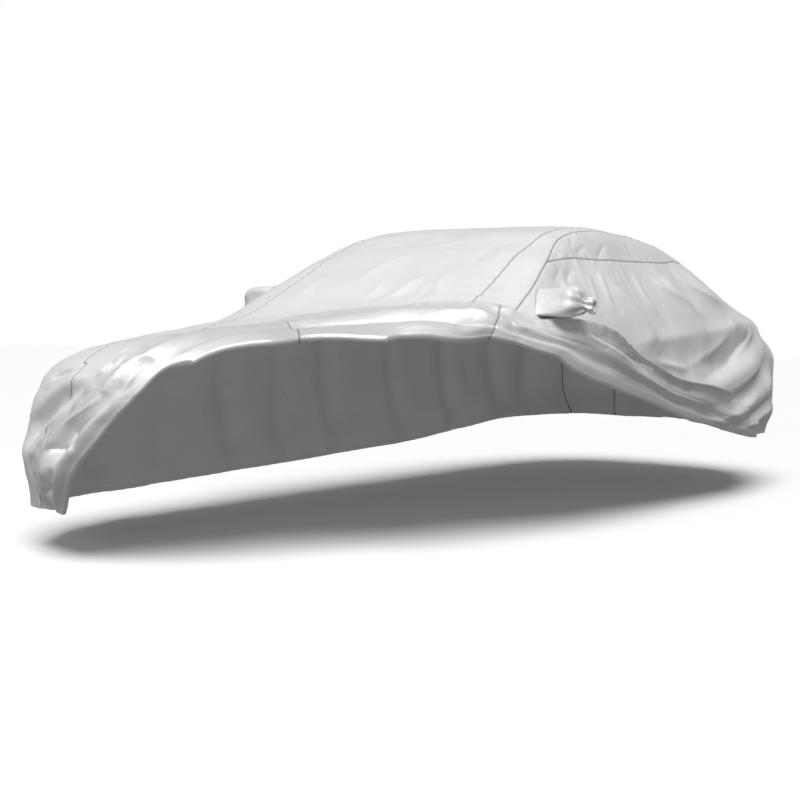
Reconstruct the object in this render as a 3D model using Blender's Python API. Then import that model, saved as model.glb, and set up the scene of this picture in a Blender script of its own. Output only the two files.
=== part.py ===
"""A fitted silver cover, hollow as it hangs in use, with its front left skirt folded back.

The cloth is worked out on a plan of the opened-out cover. "across" runs from the centre line (0)
to the hem (6), positive on the left side, and "along" runs from the front (-2) to the rear (20).
The front and the rear ends of the plan are half discs, round which the cloth fans.
Metres, +Z up, the front of the cover towards -Y.
"""

import bpy
import numpy as np

CLOTH = 0.002       # thickness of the fabric, a little over life size so that it stays a solid
SEAM_GAP = 0.0003   # between two panels sewn together
CELL = 0.098        # size of the squares that a panel is divided into
EDGE_SHARE = 0.9    # how closely the rows follow the folded-back skirt's turned edge
TIP = 0.012         # a row of the plan narrower than this is drawn as one point
RIM = 6.0           # "across" at the hem
FAN_FRONT = 4.0     # "along" where the front half disc begins
FAN_REAR = 14.0     # "along" where the rear half disc begins
TAIL = 19.97        # "along" of the last row, a hand's width of the rear hem
UNDER_TOP = (0.0, 1.95, 1.4985)  # under the top of the cloth, where the cover is held up: the origin
STEP = 0.02         # on the plan, to either side of a place whose slope is wanted
SAMPLES = 60        # taken on a row of the plan to measure its cloth
LONG_SAMPLES = 1200  # taken along the plan to measure its cloth
COLUMNS_CENTRE = 13
COLUMNS_PILLAR = 4
COLUMNS_WINDOW = 3
COLUMNS_LEFT = 8
COLUMNS_RIGHT = 12
SHARP_ANGLE = 50    # degrees, past which an edge isn't smooth

# The form without folds. For each station: y of the point it fans round, the angle it fans to,
# the height of the centre line, then half width and height of the six lines along the cover.
STATIONS = (
    # n,  y0,  fan,  spine, crown w z, shoulder w z, window w z, waist w z, bulge w z, hem w z
    (0, 0.00, 90, .905, .78, .79, .83, .74, .86, .66, .88, .55, .88, .40, .81, .19),
    (1, 0.00, 67.5, .905, .80, .785, .86, .73, .89, .65, .91, .54, .93, .40, .88, .19),
    (2, 0.00, 45, .905, .88, .765, .925, .705, .95, .63, .975, .52, 1.0, .38, .98, .175),
    (3, 0.00, 22.5, .905, .77, .845, .86, .79, .92, .69, .96, .56, .98, .40, .96, .15),
    (4, 0.00, 0, .905, .66, .90, .80, .86, .88, .76, .93, .62, .96, .42, .96, .15),
    (5, 0.35, 0, .965, .64, .955, .80, .90, .88, .82, .94, .66, .96, .42, .97, .16),
    (6, 0.60, 0, 1.03, .61, 1.015, .79, .975, .87, .89, .94, .74, .97, .44, .97, .17),
    (7, 0.90, 0, 1.19, .585, 1.165, .77, 1.11, .84, 1.00, .94, .84, .97, .46, .97, .18),
    (8, 1.20, 0, 1.345, .56, 1.32, .70, 1.27, .77, 1.17, .94, .88, .98, .48, .97, .19),
    (9, 1.50, 0, 1.45, .55, 1.435, .62, 1.41, .73, 1.27, .94, .90, .98, .48, .97, .20),
    (10, 1.95, 0, 1.50, .53, 1.487, .60, 1.468, .72, 1.31, .94, .92, .98, .48, .97, .22),
    (11, 2.50, 0, 1.478, .53, 1.467, .60, 1.45, .72, 1.315, .94, .94, .98, .50, .97, .24),
    (12, 2.90, 0, 1.42, .54, 1.405, .61, 1.385, .71, 1.30, .93, .95, .98, .52, .98, .27),
    (13, 3.25, 0, 1.31, .56, 1.29, .63, 1.27, .71, 1.22, .91, .94, .97, .54, .97, .30),
    (14, 3.60, 0, 1.185, .58, 1.16, .665, 1.135, .73, 1.10, .87, .92, .94, .56, .93, .34),
    (15, 3.60, -22.5, 1.185, .59, 1.12, .70, 1.09, .77, 1.04, .865, .89, .92, .56, .87, .36),
    (16, 3.60, -45, 1.185, .61, 1.11, .755, 1.07, .83, 1.01, .895, .87, .935, .56, .86, .37),
    (17, 3.60, -67.5, 1.185, .61, 1.10, .71, 1.06, .77, 1.0, .815, .86, .845, .56, .79, .36),
    (18, 3.60, -90, 1.185, .60, 1.10, .70, 1.06, .75, 1.0, .78, .86, .81, .56, .75, .36),
)

STRETCHES = ((0, 4), (4, 14), (14, 18))  # stations of the front fan, the length and the rear fan
FRONT_RISE = 0.10   # slope of the cloth at the point it fans round, towards the front hem
REAR_FALL = 0.25    # and towards the rear hem

# Seams and edges on the plan, as (along, across) for the left side.
CROWN_SEAM = (
    (-0.99, 3.33), (0.30, 2.10), (1.30, 1.15), (2.20, 0.72), (3.10, 0.42), (3.66, 0.46),
    (4.40, 0.76), (5.20, 0.90), (6.20, 0.97), (7.00, 1.00), (14.0, 1.00), (15.2, 1.10),
    (16.6, 1.60), (18.0, 2.25), (19.25, 2.90),
)
SHOULDER_SEAM = (
    (0.29, 4.71), (1.20, 3.70), (2.20, 2.90), (3.20, 2.45), (4.20, 2.35), (5.40, 2.34),
    (6.20, 2.20), (7.00, 2.00), (14.0, 2.00), (15.0, 2.30), (16.2, 3.20), (17.9, 4.56),
)
WINDOW_SEAM = (
    (7.95, 2.00), (8.45, 2.48), (9.10, 2.82), (9.80, 2.98), (10.8, 2.92), (11.7, 2.62),
    (12.55, 2.00),
)
WINDOW_ENDS = (7.95, 12.55)
WINDOW_TIP = 0.06   # the window strip stops this short of each end, so that its tips stay whole
TURNED_EDGE = (
    (-1.50, -2.36), (-1.00, -1.18), (-0.50, -0.55), (0.10, -0.10), (0.70, 0.20), (1.80, 0.36),
    (2.70, 0.32), (3.10, 0.34), (3.50, 0.42), (3.66, 0.46), (3.78, 0.75), (3.90, 1.05),
    (4.40, 1.78), (5.00, 2.15), (5.40, 2.34), (5.80, 2.78), (6.20, 3.25), (7.00, 4.08),
    (7.70, 4.35), (8.40, 4.48), (9.40, 4.66), (10.2, 4.86), (10.8, 5.05), (11.6, 5.34),
    (12.4, 5.60), (13.2, 5.82), (14.2, 6.00),
)
TURNED_ENDS = (-1.50, 3.66, 5.40, 13.2)
MEASURED_AT = (-3.6, -2.0, 0.0, 2.0)    # "across" of the lines that the rows are spaced along
ROW_ROOM = 0.45     # of a cell, kept clear to either side of a row that has to be there

# The folded-back skirt. For each place on the turned edge: where its free hem lies on the plan,
# then how far it stands off the cloth below at the turn and at five places on to the hem.
SKIRT = (
    # along, hem across, hem along, turn, crest, dip, crest, dip, hem
    (-1.50, -2.70, -1.10, .014, .034, .026, .026, .022, .018),
    (-1.25, -2.90, -0.86, .016, .062, .036, .050, .028, .020),
    (-1.00, -2.95, -0.70, .018, .074, .038, .062, .030, .014),
    (-0.50, -2.55, -0.20, .016, .064, .022, .056, .028, .016),
    (0.70, -1.20, 0.45, .014, .046, .012, .044, .024, .018),
    (1.80, -0.50, 1.50, .012, .034, .010, .040, .018, .020),
    (2.70, -0.20, 2.60, .012, .030, .010, .038, .014, .022),
    (3.10, -0.10, 3.20, .014, .040, .012, .046, .014, .024),
    (3.50, -0.20, 3.85, .014, .048, .014, .054, .016, .028),
    (3.66, -0.22, 4.50, .014, .040, .020, .046, .020, .030),
    (3.78, -0.10, 5.20, .014, .050, .014, .060, .018, .028),
    (3.90, 0.25, 5.85, .014, .056, .014, .070, .018, .026),
    (4.40, 0.65, 6.10, .016, .060, .012, .074, .016, .024),
    (5.00, 1.25, 6.22, .016, .060, .014, .070, .020, .024),
    (5.40, 1.75, 6.32, .014, .046, .022, .048, .022, .024),
    (6.20, 2.70, 6.60, .012, .030, .014, .038, .024, .020),
    (7.00, 3.40, 7.35, .012, .030, .016, .038, .020, .044),
    (8.40, 3.92, 8.50, .012, .028, .022, .046, .022, .072),
    (9.40, 4.25, 9.40, .012, .028, .022, .046, .022, .062),
    (10.2, 4.50, 10.2, .014, .032, .022, .042, .024, .034),
    (11.0, 4.64, 11.0, .014, .034, .026, .038, .028, .022),
    (12.0, 4.85, 12.0, .012, .028, .022, .030, .024, .020),
    (12.8, 5.30, 12.8, .012, .024, .020, .022, .020, .018),
    (13.2, 5.60, 13.2, .012, .020, .018, .018, .017, .016),
)
SKIRT_PLACES = (0.0, 0.13, 0.29, 0.52, 0.78, 1.0)
SKIRT_STEPS = (0.06, 0.13, 0.21, 0.29, 0.40, 0.52, 0.64, 0.78, 0.90, 1.0)
TURN_STEPS = 4

# Folds that stand off the form: three places on the plan, half width and height in metres.
FOLDS = (
    # across, along, across, along, across, along, half width, height
    (4.55, 10.3, 4.62, 11.8, 4.15, 14.2, .085, .042),
    (4.95, 11.4, 5.00, 12.9, 4.55, 15.2, .080, .036),
    (5.45, 12.6, 5.45, 13.9, 5.10, 15.8, .075, .028),
    (3.95, 12.6, 3.75, 13.6, 3.30, 15.0, .085, .032),
    (4.30, 10.9, 4.35, 12.0, 3.95, 13.8, .070, -.022),
    (3.30, 8.20, 3.70, 8.50, 4.05, 8.90, .060, .018),
    (3.20, 9.30, 3.70, 9.70, 4.10, 9.90, .065, .022),
    (3.15, 10.7, 3.60, 10.9, 4.20, 11.3, .065, .026),
    (3.00, 11.6, 3.50, 12.2, 3.90, 12.9, .065, .026),
    (-2.2, 2.45, -2.9, 1.75, -3.9, 0.90, .075, .026),
    (-1.5, 2.30, -2.6, 1.00, -3.6, 0.20, .070, .022),
    (-3.4, 2.20, -4.2, 2.00, -5.4, 1.70, .090, .028),
    (-4.2, 3.60, -5.0, 3.70, -5.9, 3.60, .090, .032),
    (-3.9, 5.20, -4.8, 5.00, -5.9, 4.90, .080, .026),
    (-4.0, 6.60, -4.9, 6.80, -5.9, 7.00, .090, .034),
    (-3.9, 8.10, -4.9, 8.30, -5.9, 8.20, .080, .028),
    (-3.4, 9.20, -4.6, 9.50, -5.9, 9.70, .085, .032),
    (-3.9, 10.6, -4.9, 10.8, -5.9, 11.0, .080, .026),
    (-3.3, 11.6, -4.6, 12.2, -5.9, 12.6, .090, .034),
    (-4.0, 13.4, -4.9, 13.9, -5.9, 14.3, .090, .030),
    (-3.2, 14.8, -4.5, 15.4, -5.8, 15.9, .090, .032),
    (-2.6, 16.6, -3.8, 17.2, -4.8, 17.6, .080, .026),
    (-1.0, 17.0, -1.6, 18.4, -2.2, 19.5, .080, .024),
    (0.6, 17.4, 0.6, 18.6, 0.4, 19.9, .080, .024),
    (1.8, 16.6, 2.4, 17.6, 3.0, 18.9, .080, .026),
    (3.2, 15.6, 4.2, 16.2, 5.2, 16.8, .080, .028),
    (4.0, 15.2, 3.4, 16.8, 2.2, 18.2, .075, .022),
    (-1.0, 4.60, 0.0, 4.20, 0.6, 4.60, .090, .010),
    (-0.6, 6.60, 0.0, 6.40, 0.6, 6.70, .080, -.012),
)

FOLD_FADE = 0.25    # share of a fold's length over which it grows to its full height
FOLD_END = 0.35     # share of its height that it has at its ends

# Mirror pockets: the middle of the mouth on the plan (across, along), then for the left side (1)
# and the right (-1) the rings outwards. Each ring stands off the panel and turns by its share into
# a level oval further out. The left pocket's end is gathered up and the right one's is blunt.
POCKET_AT = (2.70, 7.15)
POCKET_RINGS = {
    # stand, share, out, half length, half height, back, rise
    1: (
        (.024, .00, .090, .098, .072, .010, -.010),
        (.060, .60, .135, .092, .074, .006, .000),
        (.090, 1.0, .172, .088, .072, .008, .000),
        (.100, 1.0, .204, .076, .064, .016, -.002),
        (.100, 1.0, .220, .042, .036, .034, -.008),
        (.100, 1.0, .240, .024, .022, .046, -.012),
    ),
    -1: (
        (.022, .00, .090, .094, .072, .010, -.010),
        (.048, .45, .112, .084, .076, .014, -.008),
        (.074, .85, .132, .074, .077, .018, -.014),
        (.084, 1.0, .152, .066, .074, .020, -.018),
        (.090, 1.0, .165, .048, .056, .020, -.018),
        (.090, 1.0, .168, .018, .020, .020, -.018),
    ),
}
POCKET_WAVE = 0.12
POCKET_TIP = 0.004
POCKET_GAP = 0.0006  # from the panel's face to the pocket's mouth

SILVER = (0.60, 0.61, 0.62, 1.0)


def slopes(xs, ys):
    """Slopes of a smooth curve through the rows of a table that never overshoots them."""
    step = np.diff(xs, axis=0)
    rise = np.diff(ys, axis=0) / step
    inner = (rise[:-1] * step[1:] + rise[1:] * step[:-1]) / (step[1:] + step[:-1])
    before = np.concatenate([rise[:1], rise])
    after = np.concatenate([rise, rise[-1:]])
    middle = np.concatenate([rise[:1], inner, rise[-1:]])
    most = 3 * np.minimum(abs(before), abs(after))
    return np.where(before * after > 0, np.clip(middle, -most, most), 0)


def blend(t, step, a, b, slope_a, slope_b):
    """A cubic between two values with the given slopes."""
    start = a * (2 * t**3 - 3 * t**2 + 1) + slope_a * step * (t**3 - 2 * t**2 + t)
    return start + b * (3 * t**2 - 2 * t**3) + slope_b * step * (t**3 - t**2)


def curve(table, x):
    """The table's other columns where its first column is x."""
    table = np.asarray(table, float)
    xs = table[:, :1]
    ys = table[:, 1:]
    slope = slopes(xs, ys)
    x = np.asarray(x, float)
    flat = x.ravel()
    i = np.clip(np.searchsorted(xs[:, 0], flat, side="right") - 1, 0, len(xs) - 2)
    step = xs[i + 1] - xs[i]
    t = np.clip((flat[:, None] - xs[i]) / step, 0, 1)
    out = blend(t, step, ys[i], ys[i + 1], slope[i], slope[i + 1])
    return out.reshape(x.shape + (ys.shape[1],))


def unit(v):
    return v / np.maximum(np.linalg.norm(v, axis=-1, keepdims=True), 1e-12)


def middles(station):
    """The y of the point that the cloth fans round, and the angle, at each station."""
    found = np.zeros((len(station), 2))
    for low, high in STRETCHES:
        here = (station >= low) & (station <= high)
        rows = [row[:3] for row in STATIONS[low:high + 1]]
        found[here] = curve(rows, station[here])
    return found[:, 0], np.radians(found[:, 1])


def shell(across, along):
    """Points of the form without folds."""
    across, along = np.broadcast_arrays(np.asarray(across, float), np.asarray(along, float))
    shape = across.shape
    across = across.ravel()
    along = along.ravel()
    beyond = np.maximum(FAN_FRONT - along, 0) + np.maximum(along - FAN_REAR, 0)
    row = np.clip(np.hypot(across, beyond), 0, RIM)
    turn = np.arctan2(beyond, abs(across)) / (np.pi / 2)
    ahead = along < FAN_FRONT
    behind = along > FAN_REAR
    station = np.clip(along, FAN_FRONT, FAN_REAR) + np.where(ahead, -4.0, 4.0) * turn
    at = curve(STATIONS, station)
    middle, fan = middles(station)
    width = np.concatenate([np.zeros((len(at), 1)), at[:, 3::2]], 1)
    height = at[:, 2::2]
    gap = np.hypot(np.diff(width, axis=1), np.diff(height, axis=1))
    run = np.concatenate([np.zeros((len(at), 1)), np.cumsum(gap, 1)], 1)
    i = np.clip(np.floor(row).astype(int), 0, 5)
    n = np.arange(len(row))
    droop = (FRONT_RISE * ahead - REAR_FALL * behind) * np.sin(fan)
    found = []
    for values, first in ((width, 1.0), (height, -droop)):
        slope = slopes(run.T, values.T).T
        slope[:, 0] = first
        found.append(blend(row - i, gap[n, i], values[n, i], values[n, i + 1],
                           slope[n, i], slope[n, i + 1]))
    wide, high = found
    side = np.where(across < 0, -1.0, 1.0)
    y = middle - wide * np.sin(fan)
    return np.stack([side * wide * np.cos(fan), y, high], -1).reshape(shape + (3,))


def normal_of(form, across, along, e=STEP):
    over = form(across + e, along) - form(across - e, along)
    on = form(across, along + e) - form(across, along - e)
    return unit(np.cross(over, on))


def fold_lines():
    """Each fold's row as a smooth line of points on the form."""
    lines = []
    for a0, b0, a1, b1, a2, b2, _, _ in FOLDS:
        on_plan = curve(((0, a0, b0), (1, a1, b1), (2, a2, b2)), np.linspace(0, 2, 13))
        lines.append(shell(on_plan[:, 0], on_plan[:, 1]))
    return lines


FOLD_LINES = fold_lines()


def from_line(points, line):
    """Distance of each point to a line, and how far along the line the nearest place is."""
    nearest = np.full(len(points), 1e9)
    place = np.zeros(len(points))
    for i, (a, b) in enumerate(zip(line[:-1], line[1:])):
        edge = b - a
        t = np.clip((points - a) @ edge / (edge @ edge), 0, 1)
        away = np.linalg.norm(points - a - t[:, None] * edge, axis=1)
        closer = away < nearest
        nearest = np.where(closer, away, nearest)
        place = np.where(closer, (i + t) / (len(line) - 1), place)
    return nearest, place


def lift(points):
    """How far the folds raise the cloth at each point of the form."""
    total = np.zeros(len(points))
    for row, line in zip(FOLDS, FOLD_LINES):
        away, place = from_line(points, line)
        ends = np.clip(np.minimum(place, 1 - place) / FOLD_FADE, 0, 1)
        total += row[7] * np.exp(-(away / row[6])**2) * (FOLD_END + (1 - FOLD_END) * ends)
    return total


def skin(across, along):
    """Points of the cloth's middle surface, with its folds."""
    across = np.clip(across, -hem(along), hem(along))
    points = shell(across, along)
    flat = points.reshape(-1, 3)
    out = normal_of(shell, across, along).reshape(-1, 3)
    return (flat + out * lift(flat)[:, None]).reshape(points.shape)


def hem(along):
    """Where the plan ends, at the hem."""
    beyond = np.maximum(FAN_FRONT - along, 0) + np.maximum(along - FAN_REAR, 0)
    return np.sqrt(np.maximum(RIM**2 - beyond**2, 0))


def seam(table, along):
    """A seam's place across, or the hem's where the seam has run off the plan."""
    inside = (along >= table[0][0]) & (along <= table[-1][0])
    return np.where(inside, np.minimum(curve(table, along)[..., 0], hem(along)), hem(along))


def turned(along):
    """The left lower edge: the turn of the folded-back skirt, then the hem behind it."""
    edge = curve(TURNED_EDGE, along)[..., 0]
    return np.where(along < TURNED_EDGE[-1][0], edge, hem(along))


def plan_rows():
    """Rows of the panels' grid, about a cell apart, with one wherever a seam ends."""
    fine = np.linspace(TURNED_ENDS[0], TAIL, LONG_SAMPLES)
    lines = [shell(np.full(LONG_SAMPLES, x), fine) for x in MEASURED_AT]
    moved = np.mean([np.linalg.norm(np.diff(line, axis=0), axis=1) for line in lines], axis=0)
    edge = shell(turned(fine), fine)
    along_edge = np.linalg.norm(np.diff(edge, axis=0), axis=1)
    moved = np.maximum(moved, np.where(fine[1:] < TURNED_ENDS[2], EDGE_SHARE * along_edge, 0))
    run = np.concatenate([[0], np.cumsum(moved)])
    even = np.interp(np.linspace(0, run[-1], int(run[-1] / CELL)), run, fine)
    low, high = WINDOW_ENDS
    seams = [CROWN_SEAM[0][0], SHOULDER_SEAM[0][0], SHOULDER_SEAM[-1][0], CROWN_SEAM[-1][0]]
    windows = [low, low + WINDOW_TIP, high - WINDOW_TIP, high]
    fixed = [*TURNED_ENDS, *seams, *windows, TURNED_EDGE[-1][0], TAIL, POCKET_AT[1]]
    place = np.interp(fixed, fine, run)
    room = CELL * ROW_ROOM
    kept = [y for y in even if abs(place - np.interp(y, fine, run)).min() > room]
    return np.array(sorted(kept + fixed))


ROWS = plan_rows()


def spread(start, end, along, columns):
    """Places across, evenly spaced over the cloth, from start to end on one row."""
    fine = np.linspace(start, end, SAMPLES)
    steps = np.linalg.norm(np.diff(shell(fine, np.full(SAMPLES, along)), axis=0), axis=1)
    run = np.concatenate([[0], np.cumsum(steps)])
    if run[-1] == 0:
        return np.linspace(start, end, columns + 1)
    return np.interp(np.linspace(0, run[-1], columns + 1), run, fine)


def seam_pull(line, rows, e=STEP):
    """The direction that runs across a seam on the cloth, the same for both of its panels."""
    tangent = unit(skin(line(rows + e), rows + e) - skin(line(rows - e), rows - e))
    return unit(np.cross(tangent, normal_of(skin, line(rows), rows)))


class Cloth:
    """A sheet's middle surface as points, outward directions and faces."""

    def __init__(self):
        self.points = []
        self.normals = []
        self.faces = []

    def add(self, point, normal):
        self.points.append(point)
        self.normals.append(normal)
        return len(self.points) - 1

    def apart(self, a, b):
        return np.linalg.norm(self.points[a] - self.points[b])

    def stitch(self, rows):
        """Triangles between rows of point numbers, where numbers that repeat close a square up."""
        for a, b in zip(rows[:-1], rows[1:]):
            for p, q, r, s in zip(a[:-1], a[1:], b[1:], b[:-1]):
                if self.apart(p, r) < self.apart(q, s):
                    halves = ((p, q, r), (p, r, s))
                else:
                    halves = ((p, q, s), (q, r, s))
                self.faces += [list(half) for half in halves if len(set(half)) == 3]


def crown(rows):
    return curve(CROWN_SEAM, rows)[..., 0]


def shoulder(rows):
    return curve(SHOULDER_SEAM, rows)[..., 0]


def window(rows):
    return curve(WINDOW_SEAM, rows)[..., 0]


def mirrored(edge):
    """An edge's twin on the other side."""
    place, line, sewn = edge
    return (lambda rows: -place(rows), lambda rows: -line(rows), sewn)


def panel(cloth, low, high, start, end, columns):
    """A grid of cloth from one edge to the other, in rows between two places along."""
    rows = ROWS[(ROWS >= low - 1e-9) & (ROWS <= high + 1e-9)]
    ends = zip(start[0](rows), end[0](rows), rows)
    places = np.array([spread(s, e, y, columns) for s, e, y in ends])
    along = np.repeat(rows[:, None], columns + 1, 1)
    points = skin(places, along)
    normals = normal_of(skin, places, along)
    for column, way, (_, line, sewn) in ((0, 1.0, start), (-1, -1.0, end)):
        pull = seam_pull(line, rows)
        points[:, column] += pull * (way * sewn(rows) * SEAM_GAP / 2)[:, None]
    numbers = []
    for i in range(len(rows)):
        if np.ptp(places[i]) < TIP:
            numbers.append([cloth.add(points[i, 0], normals[i, 0])] * (columns + 1))
        else:
            numbers.append([cloth.add(*pair) for pair in zip(points[i], normals[i])])
    cloth.stitch(numbers)
    return numbers, rows


def cut_mouth(cloth, numbers, rows, side):
    """Opens the panel under the mirror pocket: the ring of point numbers round the hole."""
    row = int(np.argmin(abs(rows - POCKET_AT[1])))
    target = skin(side * POCKET_AT[0], rows[row])
    line = np.array([cloth.points[n] for n in numbers[row]])
    column = int(np.argmin(np.linalg.norm(line - target, axis=1)))
    ring = [(0, 1), (1, 1), (1, 0), (1, -1), (0, -1), (-1, -1), (-1, 0), (-1, 1)]
    mouth = [numbers[row + i][column + j] for i, j in ring]
    inside = {numbers[row][column], *mouth}
    cloth.faces = [f for f in cloth.faces if not inside.issuperset(f)]
    return mouth


def skirt_path(rows, share):
    """Places on the plan a share of the way from the turned edge to the free hem."""
    free = curve(SKIRT, rows)[:, :2]
    start = np.stack([turned(rows), rows], -1)
    return start + (free - start) * share


def skirt_point(rows, share):
    """Points of the folded-back skirt over its turned edge."""
    place = skirt_path(rows, share)
    rise = curve(SKIRT, rows)[:, 2:]
    heights = np.array([
        curve(np.column_stack([SKIRT_PLACES, [2 * r[0], *r[1:]]]), share)[0] for r in rise
    ])
    out = normal_of(shell, place[:, 0], place[:, 1])
    return skin(place[:, 0], place[:, 1]) + out * heights[:, None]


def skirt_points(rows):
    """The folded-back skirt from its turned edge to its hem, one line for each row."""
    base = skin(turned(rows), rows)
    out = normal_of(skin, turned(rows), rows)
    inward = unit(skin(*skirt_path(rows, 0.01).T) - base)
    radius = curve(SKIRT, rows)[:, 2:3]
    lines = [base]
    for angle in np.linspace(-np.pi / 2, np.pi / 2, TURN_STEPS + 1)[1:]:
        lines.append(base - inward * radius * np.cos(angle) + out * radius * (1 + np.sin(angle)))
    lines += [skirt_point(rows, share) for share in SKIRT_STEPS]
    return np.stack(lines, 1)


def skirt_end(row, way):
    """The line where two stretches of the skirt are sewn together, moved off half the gap."""
    before, here, after = skirt_points(np.array([row - STEP, row, row + STEP]))
    over = np.gradient(here, axis=0)
    normals = unit(np.cross(over, after - before))
    return here + unit(np.cross(normals, over)) * way * SEAM_GAP / 2, normals


def skirt(cloth, edge, rows, sewn_ends):
    """The turned-up cloth that goes on from the panel's edge, a row for each place on it."""
    points = skirt_points(rows)
    normals = unit(np.cross(np.gradient(points, axis=1), np.gradient(points, axis=0)))
    for row, sewn, way in ((0, sewn_ends[0], 1.0), (-1, sewn_ends[1], -1.0)):
        if sewn:
            points[row], normals[row] = skirt_end(rows[row], way)
            cloth.points[edge[row]] = points[row, 0]
            cloth.normals[edge[row]] = normals[row, 0]
    numbers = []
    for i, first in enumerate(edge):
        numbers.append([first] + [cloth.add(*pair) for pair in zip(points[i, 1:], normals[i, 1:])])
    cloth.stitch(numbers)


def solid(name, cloth, thickness=CLOTH):
    """One closed sheet: both sides of the cloth and a wall round each of its edges."""
    count = len(cloth.points)
    points = np.array(cloth.points)
    half = np.array(cloth.normals) * thickness / 2
    sheet = np.concatenate([points + half, points - half])
    faces = [list(f) for f in cloth.faces]
    faces += [[i + count for i in reversed(f)] for f in cloth.faces]
    ways = {(a, b) for f in cloth.faces for a, b in zip(f, f[1:] + f[:1])}
    order = points @ np.array([0.37, 1.0, 0.21])
    for a, b in ways:
        if (b, a) in ways:
            continue
        if order[a] < order[b]:
            faces += [[b, a, b + count], [a, a + count, b + count]]
        else:
            faces += [[b, a, a + count], [b, a + count, b + count]]
    mesh = bpy.data.meshes.new(name)
    mesh.from_pydata((sheet - np.array(UNDER_TOP)).tolist(), [], faces)
    mesh.update()
    obj = bpy.data.objects.new(name, mesh)
    bpy.context.scene.collection.objects.link(obj)
    dress(obj)
    return obj


def dress(obj):
    """The silver cloth's own material, and smooth shading but for its edges."""
    material = bpy.data.materials.new(obj.name + "_cloth")
    material.use_nodes = True
    shader = material.node_tree.nodes["Principled BSDF"]
    shader.inputs["Base Color"].default_value = SILVER
    shader.inputs["Metallic"].default_value = 0.35
    shader.inputs["Roughness"].default_value = 0.45
    obj.data.materials.append(material)
    obj.data.shade_smooth()
    obj.data.set_sharp_from_angle(angle=np.radians(SHARP_ANGLE))


def between(low, high):
    """Whether an edge is sewn on each row, rather than a free hem."""
    return lambda rows: ((rows >= low - 1e-9) & (rows <= high + 1e-9)) * 1.0


def unsewn(rows):
    return rows * 0.0


def centre_panel():
    join = TURNED_ENDS[1]
    first = CROWN_SEAM[0][0]
    last = CROWN_SEAM[-1][0]

    def left_place(rows):
        return np.where(rows < join, turned(rows), seam(CROWN_SEAM, rows))

    right = mirrored((lambda rows: seam(CROWN_SEAM, rows), crown, between(first, last)))
    left = (left_place, crown, between(join, last))
    cloth = Cloth()
    numbers, rows = panel(cloth, TURNED_ENDS[0], TAIL, right, left, COLUMNS_CENTRE)
    turned_rows = rows <= join + 1e-9
    skirt(cloth, [line[-1] for line in numbers[:turned_rows.sum()]], rows[turned_rows], (0, 1))
    solid("centre_panel", cloth)


def pillar_strips():
    _, low, join, _ = TURNED_ENDS
    last = CROWN_SEAM[-1][0]
    inner = (lambda rows: seam(CROWN_SEAM, rows), crown, between(CROWN_SEAM[0][0], last))
    outer = (lambda rows: seam(SHOULDER_SEAM, rows), shoulder,
             between(SHOULDER_SEAM[0][0], SHOULDER_SEAM[-1][0]))
    right = Cloth()
    panel(right, CROWN_SEAM[0][0], last, mirrored(outer), mirrored(inner), COLUMNS_PILLAR)
    solid("right_pillar_strip", right)

    def left_place(rows):
        return np.where(rows < join, turned(rows), seam(SHOULDER_SEAM, rows))

    left = Cloth()
    left_outer = (left_place, shoulder, between(join, SHOULDER_SEAM[-1][0]))
    numbers, rows = panel(left, low, last, inner, left_outer, COLUMNS_PILLAR)
    turned_rows = rows <= join + 1e-9
    skirt(left, [line[-1] for line in numbers[:turned_rows.sum()]], rows[turned_rows], (1, 1))
    solid("left_pillar_strip", left)


def window_strips():
    low = WINDOW_ENDS[0] + WINDOW_TIP
    high = WINDOW_ENDS[1] - WINDOW_TIP
    inner = (shoulder, shoulder, between(low, high))
    outer = (window, window, between(low, high))
    left = Cloth()
    panel(left, low, high, inner, outer, COLUMNS_WINDOW)
    solid("left_window_strip", left)
    right = Cloth()
    panel(right, low, high, mirrored(outer), mirrored(inner), COLUMNS_WINDOW)
    solid("right_window_strip", right)


def side_line(rows):
    """The seam that the side panel hangs from: the shoulder's, then the window's under it."""
    low, high = WINDOW_ENDS
    under = (rows > low + WINDOW_TIP / 2) & (rows < high - WINDOW_TIP / 2)
    return np.where(under, window(rows), shoulder(rows))


def side_panels():
    _, _, low, end = TURNED_ENDS
    first = SHOULDER_SEAM[0][0]
    last = SHOULDER_SEAM[-1][0]
    inner = (lambda rows: np.minimum(side_line(rows), hem(rows)), side_line, between(first, last))
    below = (hem, hem, unsewn)
    right = Cloth()
    numbers, rows = panel(right, first, last, mirrored(below), mirrored(inner), COLUMNS_RIGHT)
    mirror_pocket("right_mirror_pocket", right, cut_mouth(right, numbers, rows, -1), -1)
    solid("right_side_panel", right)
    left = Cloth()
    fold = (turned, turned, unsewn)
    numbers, rows = panel(left, low, last, inner, fold, COLUMNS_LEFT)
    mirror_pocket("left_mirror_pocket", left, cut_mouth(left, numbers, rows, 1), 1)
    turned_rows = rows <= end + 1e-9
    skirt(left, [line[-1] for line in numbers[:turned_rows.sum()]], rows[turned_rows], (1, 0))
    solid("left_side_panel", left)


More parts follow.
